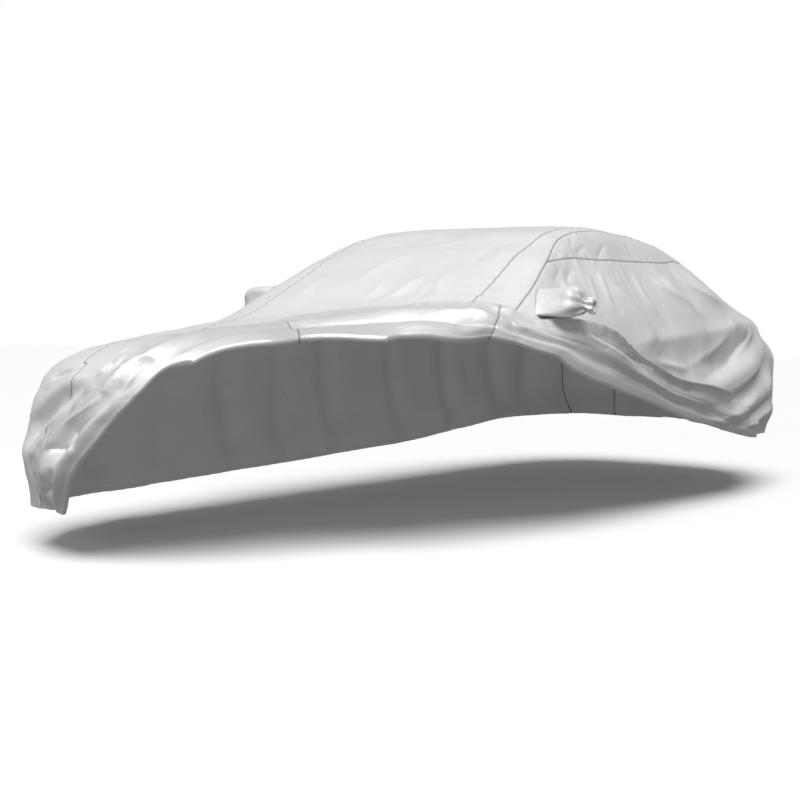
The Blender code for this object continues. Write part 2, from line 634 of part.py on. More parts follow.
def mirror_pocket(name, panel_cloth, ring, side):
    """A pouch, open where it is sewn round the hole in the side panel."""
    corners = np.array([panel_cloth.points[n] for n in ring])
    outward = np.array([panel_cloth.normals[n] for n in ring])
    both = np.stack([corners, outward], 1)
    both = np.stack([both, (both + np.roll(both, -1, axis=0)) / 2], 1).reshape(-1, 2, 3)
    corners, outward = both[:, 0], both[:, 1]
    mouth = corners + outward * (CLOTH / 2 + POCKET_GAP)
    middle = corners.mean(axis=0)
    turn = np.arctan2(mouth[:, 2] - middle[2], mouth[:, 1] - middle[1])
    rings = [mouth]
    for stand, share, out, length, height, back, rise in POCKET_RINGS[side]:
        wave = 1 + POCKET_WAVE * share * np.cos(3 * turn + 1)
        y = middle[1] + back + length * np.cos(turn) * wave
        z = middle[2] + rise + height * np.sin(turn) * wave
        oval = np.stack([np.full_like(y, middle[0] + side * out), y, z], -1)
        rings.append((mouth + outward * stand) * (1 - share) + oval * share)
    points = np.array(rings)
    around = np.roll(points, -1, axis=1) - np.roll(points, 1, axis=1)
    normals = unit(np.cross(around, np.gradient(points, axis=0)))
    way = 1 if (normals[1, 0] @ (points[1, 0] - points[1].mean(axis=0))) > 0 else -1
    cloth = Cloth()
    numbers = []
    for one_ring, outward in zip(points[:, ::way], normals[:, ::way] * way):
        line = [cloth.add(*pair) for pair in zip(one_ring, outward)]
        numbers.append(line + line[:1])
    tip = cloth.add(points[-1].mean(axis=0) + (side * POCKET_TIP, 0, 0), (side, 0, 0))
    numbers.append([tip] * len(numbers[0]))
    cloth.stitch(numbers)
    solid(name, cloth)


def main():
    for obj in list(bpy.data.objects):
        bpy.data.objects.remove(obj, do_unlink=True)
    centre_panel()
    pillar_strips()
    window_strips()
    side_panels()


main()
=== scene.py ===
"""A silver cover in sewn panels, hollow as it hangs in use, with its front left skirt folded back.

The cloth is worked out on a plan of the opened-out cover. "across" runs from the centre line (0)
to the hem (6), positive on the left side, and "along" runs from the front (-2) to the rear (20).
The front and the rear ends of the plan are half discs, round which the cloth fans.
Metres, +Z up, the front of the cover towards -Y.
"""

import bmesh
import bpy
import numpy as np
from mathutils import Matrix, Vector
from mathutils.kdtree import KDTree


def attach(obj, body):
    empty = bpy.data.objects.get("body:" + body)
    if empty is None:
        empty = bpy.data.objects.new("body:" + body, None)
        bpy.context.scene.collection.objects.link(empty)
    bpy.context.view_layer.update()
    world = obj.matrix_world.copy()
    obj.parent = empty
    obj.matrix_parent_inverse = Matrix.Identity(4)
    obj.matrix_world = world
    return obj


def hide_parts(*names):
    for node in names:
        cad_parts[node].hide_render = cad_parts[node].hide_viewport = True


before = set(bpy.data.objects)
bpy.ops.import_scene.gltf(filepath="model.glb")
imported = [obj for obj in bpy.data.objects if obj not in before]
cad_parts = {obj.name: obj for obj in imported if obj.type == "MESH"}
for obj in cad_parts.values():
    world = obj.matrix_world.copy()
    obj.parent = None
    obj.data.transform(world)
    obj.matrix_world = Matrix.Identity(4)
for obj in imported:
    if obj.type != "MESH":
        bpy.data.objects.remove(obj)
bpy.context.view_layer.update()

# Cloth and grid.
CLOTH = 0.002       # thickness
CELL = 0.0135       # size of the squares that a panel is divided into
EDGE_SHARE = 0.9    # how closely the rows follow the folded-back skirt's turned edge
TIP = 0.003         # a row of the plan narrower than this is drawn as one point
RIM = 6.0           # "across" at the hem, and one line of the form at each whole number to it
FAN_FRONT = 4.0     # "along" where the front half disc begins
FAN_REAR = 14.0     # "along" where the rear half disc begins
FAN_STATIONS = 4.0  # in each half disc, from its start to the middle of the front or the rear
FRONT_HEM = -1.99   # "along" of the front hem at the middle, or just inside it
TAIL = 19.97        # "along" of the last row, which is a hand's width of the rear hem
UNDER_TOP = np.array((0.0, 1.95, 1.4985))  # under the top of the cloth: the frame's origin
STEP = 0.02         # on the plan, to either side of a place whose slope is wanted
SAMPLES = 40        # taken on a row of the plan to measure its cloth
LONG_SAMPLES = 4000  # taken along the plan to measure its cloth
LINE_POINTS = 900   # on each seam, to find how far away it is
REAR_POINTS = 40    # the same on the rear hem's last row
FRONT_POINTS = 20   # on the front hem's first row
SKIRT_SEAM_POINTS = 60
SKIRT_HEM_POINTS = 500
TRAIL_STEP = 0.003  # between the points of such a line after they are evened out
TINY = 1e-12        # stands in for a length of nothing where one is divided by
SAME = 1e-9         # places closer than this are one place
TOUCHING = 1e-6     # across, the same for a seam that meets the turned edge
SEAM_CELLS = (0.0, 0.003, 0.007, 0.013)  # distances of the first columns from a panel's edge
SEAM_ROOM = 0.06    # a row shorter than this has its first columns closer together
SEAM_GAP = 0.0003   # that each panel keeps from the middle of a seam
COLUMNS_CENTRE = 80     # squares from one edge of a panel to the other
COLUMNS_PILLAR = 30
COLUMNS_WINDOW = 26
COLUMNS_LEFT = 76
COLUMNS_RIGHT = 92
SKIRT_COLUMNS = 44
HEM_SHARES = (0.955, 0.985)     # of the skirt's depth, where two more columns stand by its hem
TURN_STEPS = 8      # round the skirt's turned edge
SHARP_ANGLE = 50    # degrees, past which an edge isn't smooth
MARKS = ("seam_away", "seam_run", "hem_away", "weave_across", "weave_along")
FAR = 1.0           # distance from a hem for what has none

# Folds, wrinkles, seams and hems.
CREASE_REACH = 4.5  # half widths from a crease to where it has died away
CREASE_FADE = 0.35  # share of a crease's length over which it grows to its full height
FOLD_FADE = 0.25    # the same for a large fold
FOLD_END = 0.35     # share of its height that a large fold has at its ends
FOLD_SOFTNESS = 9.0     # large folds are round, and a softness near 0 has a sharp ridge
CREASE_STEPS = 10   # straight pieces that a crease's line is made of
WRINKLE_STEPS = 4   # the same for a small wrinkle
WRINKLES = 320
WRINKLE_SEED = 7
WRINKLE_ACROSS = (-5.6, 5.4)
WRINKLE_ALONG = (-1.4, 19.6)
WRINKLE_MARGIN = 0.2    # across, that a wrinkle's middle keeps from the hem
WRINKLE_HALF = (0.18, 0.75)     # half its length on the plan
WRINKLE_BOW = (-0.25, 0.25)     # share of that by which its middle is off a straight line
WRINKLE_WIDTH = (0.009, 0.026)
WRINKLE_RISE = (0.08, 0.18)     # share of its width
WRINKLE_SOFTNESS = 0.4
SIDE_FROM = 2.2     # "across" past which the cloth hangs down and wrinkles stand upright
SIDE_LEAN = 0.5     # radians by which a wrinkle leans there
TOP_LEAN = 1.0      # and where the cloth lies
FLAP_WRINKLES = 60  # the skirt's own, placed by "along" and by share of the way to its hem
FLAP_ALONG = (-1.2, 12.6)
FLAP_SHARE = (0.15, 0.85)
FLAP_LEAN = 0.35    # along
FLAP_HALF = (0.08, 0.22)        # half a wrinkle's length, in shares of the skirt's depth
FLAP_BOW = (-0.1, 0.1)
FLAP_WIDTH = (0.006, 0.014)
FLAP_RISE = (0.12, 0.30)
RIPPLES = 16
RIPPLE_SEED = 3
RIPPLE_WAVES = (0.10, 0.55)
RIPPLE_SHARE = 0.0022   # height of a ripple for its length
RIPPLE_TURN = 6.28      # radians within which each ripple starts
SKIRT_RIPPLE = 1.2      # the skirt hangs looser than the panels
SEAM_DEPTH = 0.0022     # of the groove along a seam
SEAM_HALF = 0.0045      # its half width
PUCKER = 0.0016     # height of the gathers beside a seam
PUCKER_REACH = 0.030
RUFFLE = 0.0022     # height of the waves along a hem
RUFFLE_REACH = 0.055
HEM_WIDTH = 0.020   # of the doubled cloth
HEM_SOFT = 0.003    # over which the doubled hem thins to single cloth
HEM_EXTRA = 0.5     # of the cloth's thickness, where the hem doubles it
HEM_STITCH = 0.017  # from the hem to its line of stitches
SKIRT_CLEAR = 0.005  # least that the skirt stands off the cloth below
CLEAR_SOFT = 0.003  # over which its creases flatten out on to that least
TURN_BLEND = 0.10   # share of the skirt's depth over which its own creases grow in
MERGE_FROM = 8.8    # "along" from which the skirt takes the creases of the cloth below
MERGE_OVER = 1.0
POCKET_HALF = (0.036, 0.026)    # of the hole under a pocket, along and down
POCKET_GAP = 0.0006     # between a pocket's mouth and the panel
POCKET_FLARE = 0.4      # how far the mouth follows the panel's own outward direction
POCKET_CREASE = 0.006   # height of a pocket's creases
POCKET_CREASED = (0.15, 1.5)    # rings between which a pocket has creases
POCKET_RIPPLE = 0.8
POCKET_RIPPLE_SIZE = 3.0        # a pocket's ripples are this many times shorter
POCKET_CALM = 0.2       # ring by which its unevenness has grown in
PLEATS = 9
PLEAT_DRIFT = 2.1       # radians by which the pleats crowd to one side
FLOOR_REACH = 55
BACKDROP_REACH = 60

# Waves along a seam or a hem: the length of one radian, how far it drifts and over what length.
GATHER_WAVE = (0.0090, 2.2, 0.13)
GATHER_SWELL = (0.31, 0.8, 0.77)
RUFFLE_WAVE = (0.013, 1.5, 0.21)
GATHER_SECOND = 0.0149  # one radian of a second and even wave
GATHER_SHARE = 0.6      # its height, as a share of the first wave's
GATHER_LEAST = 0.35     # share of their height that the gathers have where they are weakest
RUFFLE_SECOND = 0.034
RUFFLE_SHARE = 0.5

# The cloth's finish, and the painted shade along its seams.
THREAD = 0.0016     # two threads of the weave
STITCH_AWAY = 0.006  # from the seam to its line of stitches
STITCH_LENGTH = 0.0056
STITCH_EDGE = (0.0008, 0.0020)  # half width of the thread, and where it has faded
STITCH_GAP = (-0.5, 0.1)        # of a stitch's wave, between a gap and the thread
JOIN_EDGE = (0.0018, 0.0060)    # half width of the painted shade line in a seam, and where it has faded
# Painted shade: the near-black colour of the line in each seam stands in for the shadow of its
# groove.
SEAM_PAINTED_SHADE = (.16, .16, .17, 1)
THREAD_SHADE = (.38, .385, .39, 1)
CLOUDS = (3.2, 3.0, 0.5)        # scale, detail and roughness of each unevenness
BLOTCHES = (17.0, 3.0, 0.5)
CRINKLES = (46.0, 3.0, 0.62)
GRIT = (900.0, 1.0, 0.5)
CLOUD_TONE = 0.30   # how far each of them, the weave, a seam's painted shade and a stitch show in the colour
BLOTCH_TONE = 0.22
GRIT_TONE = 0.16
WEAVE_TONE = 0.05
JOIN_PAINTED_SHADE = 0.75
STITCH_TONE = 0.45
BLOTCH_ROUGH = 0.16  # and in the roughness
GRIT_ROUGH = 0.10
JOIN_ROUGH = 0.12
JOIN_DULL = 0.10    # how much less metallic a join and a stitch are
STITCH_DULL = 0.15
WEAVE_RELIEF = 0.5  # heights in the fine relief, as shares of its depth
GRIT_RELIEF = 0.6
STITCH_RELIEF = 1.6
RELIEF_DEPTH = 0.00022
SPECULAR = 0.45
SHEEN = 0.05
FLOOR_DARK = (.93, .93, .93, 1)
FLOOR_LIGHT = (.97, .97, .97, 1)
FLOOR_CLOUDS = (0.8, 3.0, 0.5)
FLOOR_GRIT = (60.0, 2.0, 0.5)
FLOOR_MIX = (0.4, 0.6)  # shares of the floor's clouds and grit
FLOOR_ROUGH = 0.8

# The form without folds. For each station: y of the point it fans round, the angle it fans to,
# the height of the centre line, then half width and height of the six lines along the cover.
STATIONS = (
    # n,  y0,  fan,  spine, crown w z, shoulder w z, window w z, waist w z, bulge w z, hem w z
    (0, 0.00, 90, .905, .78, .79, .83, .74, .86, .66, .88, .55, .88, .40, .81, .19),
    (1, 0.00, 67.5, .905, .80, .785, .86, .73, .89, .65, .91, .54, .93, .40, .88, .19),
    (2, 0.00, 45, .905, .88, .765, .925, .705, .95, .63, .975, .52, 1.0, .38, .98, .175),
    (3, 0.00, 22.5, .905, .77, .845, .86, .79, .92, .69, .96, .56, .98, .40, .96, .15),
    (4, 0.00, 0, .905, .66, .90, .80, .86, .88, .76, .93, .62, .96, .42, .96, .15),
    (5, 0.35, 0, .965, .64, .955, .80, .90, .88, .82, .94, .66, .96, .42, .97, .16),
    (6, 0.60, 0, 1.03, .61, 1.015, .79, .975, .87, .89, .94, .74, .97, .44, .97, .17),
    (7, 0.90, 0, 1.19, .585, 1.165, .77, 1.11, .84, 1.00, .94, .84, .97, .46, .97, .18),
    (8, 1.20, 0, 1.345, .56, 1.32, .70, 1.27, .77, 1.17, .94, .88, .98, .48, .97, .19),
    (9, 1.50, 0, 1.45, .55, 1.435, .62, 1.41, .73, 1.27, .94, .90, .98, .48, .97, .20),
    (10, 1.95, 0, 1.50, .53, 1.487, .60, 1.468, .72, 1.31, .94, .92, .98, .48, .97, .22),
    (11, 2.50, 0, 1.478, .53, 1.467, .60, 1.45, .72, 1.315, .94, .94, .98, .50, .97, .24),
    (12, 2.90, 0, 1.42, .54, 1.405, .61, 1.385, .71, 1.30, .93, .95, .98, .52, .98, .27),
    (13, 3.25, 0, 1.31, .56, 1.29, .63, 1.27, .71, 1.22, .91, .94, .97, .54, .97, .30),
    (14, 3.60, 0, 1.185, .58, 1.16, .665, 1.135, .73, 1.10, .87, .92, .94, .56, .93, .34),
    (15, 3.60, -22.5, 1.185, .59, 1.12, .70, 1.09, .77, 1.04, .865, .89, .92, .56, .87, .36),
    (16, 3.60, -45, 1.185, .61, 1.11, .755, 1.07, .83, 1.01, .895, .87, .935, .56, .86, .37),
    (17, 3.60, -67.5, 1.185, .61, 1.10, .71, 1.06, .77, 1.0, .815, .86, .845, .56, .79, .36),
    (18, 3.60, -90, 1.185, .60, 1.10, .70, 1.06, .75, 1.0, .78, .86, .81, .56, .75, .36),
)

STRETCHES = ((0, 4), (4, 14), (14, 18))  # stations of the front fan, the length and the rear fan
FRONT_RISE = 0.10   # slope of the cloth at the point it fans round, towards the front hem
REAR_FALL = 0.25    # and towards the rear hem

# Seams and edges on the plan, as (along, across) for the left side.
CROWN_SEAM = (
    (-0.99, 3.33), (0.30, 2.10), (1.30, 1.15), (2.20, 0.72), (3.10, 0.42), (3.66, 0.46),
    (4.40, 0.76), (5.20, 0.90), (6.20, 0.97), (7.00, 1.00), (14.0, 1.00), (15.2, 1.10),
    (16.6, 1.60), (18.0, 2.25), (19.25, 2.90),
)
SHOULDER_SEAM = (
    (0.29, 4.71), (1.20, 3.70), (2.20, 2.90), (3.20, 2.45), (4.20, 2.35), (5.40, 2.34),
    (6.20, 2.20), (7.00, 2.00), (14.0, 2.00), (15.0, 2.30), (16.2, 3.20), (17.9, 4.56),
)
WINDOW_SEAM = (
    (7.95, 2.00), (8.45, 2.48), (9.10, 2.82), (9.80, 2.98), (10.8, 2.92), (11.7, 2.62),
    (12.55, 2.00),
)
WINDOW_ENDS = (7.95, 12.55)
WINDOW_TIP = 0.06   # the window strip stops this short of each end
TURNED_EDGE = (
    (-1.50, -2.36), (-1.00, -1.18), (-0.50, -0.55), (0.10, -0.10), (0.70, 0.20), (1.80, 0.36),
    (2.70, 0.32), (3.10, 0.34), (3.50, 0.42), (3.66, 0.46), (3.78, 0.75), (3.90, 1.05),
    (4.40, 1.78), (5.00, 2.15), (5.40, 2.34), (5.80, 2.78), (6.20, 3.25), (7.00, 4.08),
    (7.70, 4.35), (8.40, 4.48), (9.40, 4.66), (10.2, 4.86), (10.8, 5.05), (11.6, 5.34),
    (12.4, 5.60), (13.2, 5.82), (14.2, 6.00),
)
TURNED_ENDS = (-1.50, 3.66, 5.40, 13.2)
MEASURED_AT = (-3.6, -2.0, 0.0, 2.0)    # "across" of the lines that the rows are spaced along
ROW_ROOM = 0.35     # of a cell, kept clear to either side of a row that has to be there

# The folded-back skirt. For each place on the turned edge: where its free hem lies on the plan,
# then how far it stands off the cloth below at the turn and at five places on to the hem.
SKIRT = (
    # along, hem across, hem along, turn, crest, dip, crest, dip, hem
    (-1.50, -2.70, -1.10, .014, .034, .026, .026, .022, .018),
    (-1.25, -2.90, -0.86, .016, .062, .036, .050, .028, .020),
    (-1.00, -2.95, -0.70, .018, .074, .038, .062, .030, .014),
    (-0.50, -2.55, -0.20, .016, .064, .022, .056, .028, .016),
    (0.70, -1.20, 0.45, .014, .046, .012, .044, .024, .018),
    (1.80, -0.50, 1.50, .012, .034, .010, .040, .018, .020),
    (2.70, -0.20, 2.60, .012, .030, .010, .038, .014, .022),
    (3.10, -0.10, 3.20, .014, .040, .012, .046, .014, .024),
    (3.50, -0.20, 3.85, .014, .048, .014, .054, .016, .028),
    (3.66, -0.22, 4.50, .014, .040, .020, .046, .020, .030),
    (3.78, -0.10, 5.20, .014, .050, .014, .060, .018, .028),
    (3.90, 0.25, 5.85, .014, .056, .014, .070, .018, .026),
    (4.40, 0.65, 6.10, .016, .060, .012, .074, .016, .024),
    (5.00, 1.25, 6.22, .016, .060, .014, .070, .020, .024),
    (5.40, 1.75, 6.32, .014, .046, .022, .048, .022, .024),
    (6.20, 2.70, 6.60, .012, .030, .014, .038, .024, .020),
    (7.00, 3.40, 7.35, .012, .034, .014, .038, .032, .038),
    (8.40, 3.92, 8.50, .012, .028, .022, .056, .050, .070),
    (9.40, 4.25, 9.40, .012, .028, .022, .054, .044, .062),
    (10.2, 4.50, 10.2, .014, .032, .020, .050, .034, .052),
    (11.0, 4.64, 11.0, .014, .034, .022, .046, .030, .042),
    (12.0, 4.85, 12.0, .012, .028, .022, .030, .024, .020),
    (12.8, 5.30, 12.8, .012, .024, .020, .022, .020, .018),
    (13.2, 5.60, 13.2, .012, .020, .018, .018, .017, .016),
)
SKIRT_PLACES = (0.0, 0.13, 0.29, 0.52, 0.78, 1.0)

# Folds that stand off the form: three places on the plan, half width and height in metres.
FOLDS = (
    # across, along, across, along, across, along, half width, height
    (4.55, 10.3, 4.62, 11.8, 4.15, 14.2, .085, .042),
    (4.95, 11.4, 5.00, 12.9, 4.55, 15.2, .080, .036),
    (5.45, 12.6, 5.45, 13.9, 5.10, 15.8, .075, .028),
    (3.95, 12.6, 3.75, 13.6, 3.30, 15.0, .085, .032),
    (4.30, 10.9, 4.35, 12.0, 3.95, 13.8, .070, -.022),
    (3.30, 8.20, 3.70, 8.50, 4.05, 8.90, .060, .018),
    (3.20, 9.30, 3.70, 9.70, 4.10, 9.90, .065, .022),
    (3.15, 10.7, 3.60, 10.9, 4.20, 11.3, .065, .026),
    (3.00, 11.6, 3.50, 12.2, 3.90, 12.9, .065, .026),
    (-2.2, 2.45, -2.9, 1.75, -3.9, 0.90, .075, .026),
    (-1.5, 2.30, -2.6, 1.00, -3.6, 0.20, .070, .022),
    (-3.4, 2.20, -4.2, 2.00, -5.4, 1.70, .090, .028),
    (-4.2, 3.60, -5.0, 3.70, -5.9, 3.60, .090, .032),
    (-3.9, 5.20, -4.8, 5.00, -5.9, 4.90, .080, .026),
    (-4.0, 6.60, -4.9, 6.80, -5.9, 7.00, .090, .034),
    (-3.9, 8.10, -4.9, 8.30, -5.9, 8.20, .080, .028),
    (-3.4, 9.20, -4.6, 9.50, -5.9, 9.70, .085, .032),
    (-3.9, 10.6, -4.9, 10.8, -5.9, 11.0, .080, .026),
    (-3.3, 11.6, -4.6, 12.2, -5.9, 12.6, .090, .034),
    (-4.0, 13.4, -4.9, 13.9, -5.9, 14.3, .090, .030),
    (-3.2, 14.8, -4.5, 15.4, -5.8, 15.9, .090, .032),
    (-2.6, 16.6, -3.8, 17.2, -4.8, 17.6, .080, .026),
    (-1.0, 17.0, -1.6, 18.4, -2.2, 19.5, .080, .024),
    (0.6, 17.4, 0.6, 18.6, 0.4, 19.9, .080, .024),
    (1.8, 16.6, 2.4, 17.6, 3.0, 18.9, .080, .026),
    (3.2, 15.6, 4.2, 16.2, 5.2, 16.8, .080, .028),
    (4.0, 15.2, 3.4, 16.8, 2.2, 18.2, .075, .022),
    (-1.0, 4.60, 0.0, 4.20, 0.6, 4.60, .090, .010),
    (-0.6, 6.60, 0.0, 6.40, 0.6, 6.70, .080, -.012),
)

# Finer creases of the panels: three places on the plan, half width, height and how soft it is.
CREASES = (
    # across, along, across, along, across, along, half width, height, softness
    (0.04, 6.20, 0.24, 6.64, 0.32, 7.28, .030, .007, .5),
    (0.68, 6.16, 0.56, 6.72, 0.52, 7.52, .026, .008, .4),
    (0.88, 7.56, 0.84, 8.00, 0.84, 8.24, .016, .009, .3),
    (0.68, 7.24, 0.68, 7.72, 0.68, 8.20, .026, -.006, .5),
    (-0.56, 6.16, -0.72, 6.76, -0.64, 7.36, .030, .006, .5),
    (-0.16, 6.24, 0.00, 6.56, -0.08, 7.00, .024, .006, .4),
    (0.52, 6.16, 0.44, 6.64, 0.48, 6.84, .018, .006, .4),
    (-0.30, 6.80, -0.20, 7.40, 0.05, 7.90, .030, .005, .5),
    (0.96, 6.96, 1.40, 6.72, 1.88, 6.56, .020, .005, .4),
    (0.00, 7.92, 0.20, 8.24, 0.44, 8.48, .030, .004, .6),
    (2.48, 9.40, 2.60, 9.20, 2.68, 9.00, .012, -.006, .3),
    (2.44, 9.92, 2.72, 9.68, 2.96, 9.44, .012, -.008, .3),
    (2.20, 10.48, 2.60, 10.40, 2.76, 10.52, .012, -.006, .3),
    (1.88, 10.96, 2.04, 11.08, 2.24, 11.12, .012, -.005, .3),
    (2.12, 9.24, 2.32, 9.08, 2.48, 8.96, .012, -.005, .3),
    (3.12, 8.12, 3.04, 8.40, 3.00, 8.72, .013, -.008, .3),
    (2.88, 7.80, 2.72, 8.08, 2.72, 8.32, .013, -.007, .3),
    (3.08, 9.04, 3.30, 8.92, 3.60, 8.80, .020, .008, .4),
    (3.04, 9.76, 3.16, 9.72, 3.30, 9.72, .010, -.006, .3),
    (3.08, 10.56, 3.48, 10.76, 3.88, 11.8, .024, .014, .4),
    (3.00, 11.28, 3.40, 11.76, 3.64, 13.24, .026, .016, .4),
    (3.08, 10.20, 3.48, 10.12, 3.84, 10.32, .022, .010, .4),
    (3.44, 9.20, 3.60, 9.32, 3.68, 9.40, .016, -.006, .4),
    (3.12, 9.36, 3.32, 9.24, 3.66, 9.20, .022, .009, .4),
    (3.28, 12.48, 3.40, 13.12, 3.40, 13.8, .020, .010, .4),
    (4.08, 9.16, 4.02, 10.32, 4.00, 11.16, .050, .014, .8),
    (3.96, 10.80, 3.94, 12.12, 3.70, 13.4, .050, .016, .8),
    (4.24, 9.70, 4.36, 10.30, 4.42, 10.60, .020, .014, .4),
    (4.40, 10.40, 4.24, 11.30, 3.90, 12.60, .030, .012, .5),
    (4.56, 10.55, 4.50, 11.50, 4.22, 12.90, .044, -.020, .8),
    (4.74, 11.20, 4.65, 12.60, 4.14, 14.40, .030, .016, .5),
    (4.50, 11.80, 4.16, 12.75, 3.92, 13.50, .020, -.010, .4),
    (4.44, 12.10, 4.10, 13.10, 3.84, 13.90, .036, .016, .6),
    (4.86, 10.80, 4.82, 12.20, 4.40, 14.10, .030, -.012, .6),
    (4.98, 11.10, 4.90, 12.40, 4.55, 13.90, .024, -.010, .4),
    (5.14, 10.60, 5.06, 12.10, 4.72, 13.90, .034, .014, .6),
    (5.30, 11.20, 5.24, 12.80, 4.90, 14.60, .022, -.014, .5),
    (5.46, 11.90, 5.42, 13.30, 5.10, 15.20, .024, .014, .5),
    (-1.16, 2.40, -0.96, 2.40, -0.68, 2.56, .014, -.007, .3),
    (-2.70, 1.02, -1.40, 1.54, -0.40, 2.26, .040, .018, .6),
    (-3.40, 0.36, -1.90, 0.92, -0.30, 1.75, .058, -.040, .7),
    (-3.30, 0.02, -2.10, 0.38, -0.90, 1.00, .034, .018, .6),
    (-2.90, 0.05, -2.20, 0.26, -1.60, 0.36, .018, -.012, .3),
    (-3.05, -0.10, -2.50, 0.02, -1.95, 0.10, .020, .012, .3),
    (-1.17, 2.31, -0.90, 2.52, -0.60, 2.60, .012, -.012, .3),
    (-0.24, 3.12, -0.20, 3.20, -0.20, 3.28, .010, -.006, .3),
)

# Creases of the folded-back skirt: along and share of the way to its hem, three times, then as
# above.
FLAP_CREASES = (
    # along, share, along, share, along, share, half width, height, softness
    (-0.30, 0.33, 1.60, 0.31, 3.55, 0.33, .010, -.010, .3),
    (3.60, 0.33, 3.86, 0.37, 4.05, 0.37, .008, -.013, .2),
    (4.00, 0.37, 4.80, 0.37, 5.60, 0.37, .008, -.013, .2),
    (3.80, 0.06, 4.30, 0.10, 5.10, 0.09, .008, -.010, .2),
    (4.90, 0.09, 5.40, 0.08, 5.90, 0.06, .008, -.008, .2),
    (3.75, 0.62, 4.30, 0.66, 5.30, 0.64, .016, .008, .4),
    (3.90, 0.20, 4.60, 0.22, 5.40, 0.20, .016, .008, .4),
    (1.56, 0.02, 2.30, 0.06, 2.95, 0.20, .010, -.012, .2),
    (2.80, 0.20, 3.15, 0.18, 3.50, 0.15, .010, -.010, .2),
    (0.60, 0.40, 1.12, 0.20, 1.86, 0.10, .010, -.012, .2),
    (0.10, 0.62, 0.60, 0.48, 1.20, 0.40, .014, .010, .3),
    (-0.03, 0.42, -0.35, 0.20, -0.70, 0.06, .014, -.020, .3),
    (-0.66, 0.78, -0.56, 0.42, -0.76, 0.07, .014, -.016, .3),
    (-1.05, 0.55, -0.91, 0.37, -1.03, 0.12, .032, .016, .6),
    (-1.32, 0.70, -1.22, 0.40, -1.30, 0.10, .012, -.014, .3),
    (5.50, 0.60, 5.90, 0.40, 6.20, 0.05, .012, -.009, .3),
    (5.60, 0.80, 6.20, 0.62, 6.90, 0.52, .012, -.009, .3),
    (6.00, 0.35, 6.80, 0.40, 7.60, 0.30, .014, .008, .4),
    (6.42, 0.55, 7.07, 0.46, 8.00, 0.50, .012, -.009, .3),
    (7.20, 0.66, 8.20, 0.62, 9.30, 0.62, .016, .012, .4),
    (7.55, 0.76, 8.60, 0.82, 9.80, 0.93, .012, -.028, .3),
    (8.00, 0.92, 8.90, 0.94, 9.80, 0.99, .007, -.012, .3),
    (9.40, 0.97, 10.6, 0.98, 12.0, 0.97, .011, .009, .2),
    (8.00, 0.22, 9.20, 0.28, 10.20, 0.22, .016, .008, .4),
    (9.20, 0.60, 10.2, 0.55, 11.4, 0.50, .012, -.008, .3),
    (10.2, 0.25, 11.0, 0.30, 12.2, 0.30, .014, .007, .4),
)

# Mirror pockets: a place on the plan under the mouth, then for the left side (1) and the right (-1)
# the rings outwards. The left pocket's end is gathered into a hollow knot and the right's is blunt.
POCKET_AT = (2.68, 7.30)
POCKET_RINGS = {
    # ring, out, back, rise, half length, half height, squareness, pleats, lean
    1: (
        (0.0, 0.000, 0.000, -.014, .074, .060, 7.0, .00, .86),
        (0.1, 0.014, 0.000, -.014, .075, .062, 7.0, .00, .86),
        (0.3, 0.050, 0.000, -.012, .078, .065, 6.5, .00, .72),
        (0.6, 0.110, -.004, -.010, .081, .066, 6.0, .00, .50),
        (0.8, 0.150, -.010, -.008, .081, .065, 5.2, .01, .34),
        (0.95, 0.178, -.012, -.010, .076, .060, 4.0, .03, .20),
        (1.1, 0.194, 0.002, -.014, .058, .046, 2.8, .10, .08),
        (1.25, 0.201, 0.022, -.018, .033, .030, 2.2, .18, .00),
        (1.35, 0.208, 0.034, -.022, .026, .026, 2.0, .20, .00),
        (1.5, 0.222, 0.046, -.025, .032, .032, 2.0, .22, .00),
        (1.6, 0.232, 0.052, -.028, .030, .031, 2.0, .20, .00),
        (1.68, 0.232, 0.053, -.029, .022, .023, 2.0, .14, .00),
        (1.75, 0.220, 0.048, -.027, .016, .017, 2.0, .10, .00),
        (1.8, 0.208, 0.042, -.025, .006, .006, 2.0, .00, .00),
    ),
    -1: (
        (0.0, 0.000, 0.000, 0.000, .076, .066, 3.4, .00, .00),
        (0.1, 0.012, 0.000, 0.000, .078, .068, 3.4, .00, .00),
        (0.4, 0.050, 0.002, -.006, .078, .074, 3.2, .00, .00),
        (0.8, 0.100, 0.006, -.014, .074, .077, 3.0, .01, .00),
        (1.1, 0.134, 0.010, -.018, .066, .074, 2.8, .03, .00),
        (1.35, 0.156, 0.012, -.020, .052, .060, 2.6, .05, .00),
        (1.6, 0.166, 0.014, -.020, .028, .034, 2.2, .06, .00),
        (1.8, 0.168, 0.014, -.020, .006, .008, 2.0, .00, .00),
    ),
}
POCKET_AROUND = 132
POCKET_STEPS = 48
POCKET_BLEND = 0.22     # ring by which the mouth has turned into the pocket's own section

# The photo's view and the studio's light.
SENSOR = 36         # millimetres
LENS = 60.17
CAMERA_AT = (3.715, -6.376, -0.5745)
CAMERA_AIM = (34.32, -2.89, 1.0)        # degrees: turn, tilt and roll
SURROUND = 0.20     # strength of the white light from all round
KEY_POWER = 3.3
KEY_WAY = (0.27, -0.45, 0.85)   # that the light comes from
KEY_ANGLE = 38      # degrees, for soft shadows
FRONT_POWER = 80
FRONT_WAY = (0.15, -0.96, 0.24)
FRONT_AT = (1.5, -9.2, 1.3)
FRONT_SIZE = (3.2, 1.8)


# Smooth curves through tables.

def slopes(xs, ys):
    """Slopes of a smooth curve through the rows of a table that never overshoots them."""
    step = np.diff(xs, axis=0)
    rise = np.diff(ys, axis=0) / step
    inner = (rise[:-1] * step[1:] + rise[1:] * step[:-1]) / (step[1:] + step[:-1])
    before = np.concatenate([rise[:1], rise])
    after = np.concatenate([rise, rise[-1:]])
    middle = np.concatenate([rise[:1], inner, rise[-1:]])
    most = 3 * np.minimum(abs(before), abs(after))
    return np.where(before * after > 0, np.clip(middle, -most, most), 0)


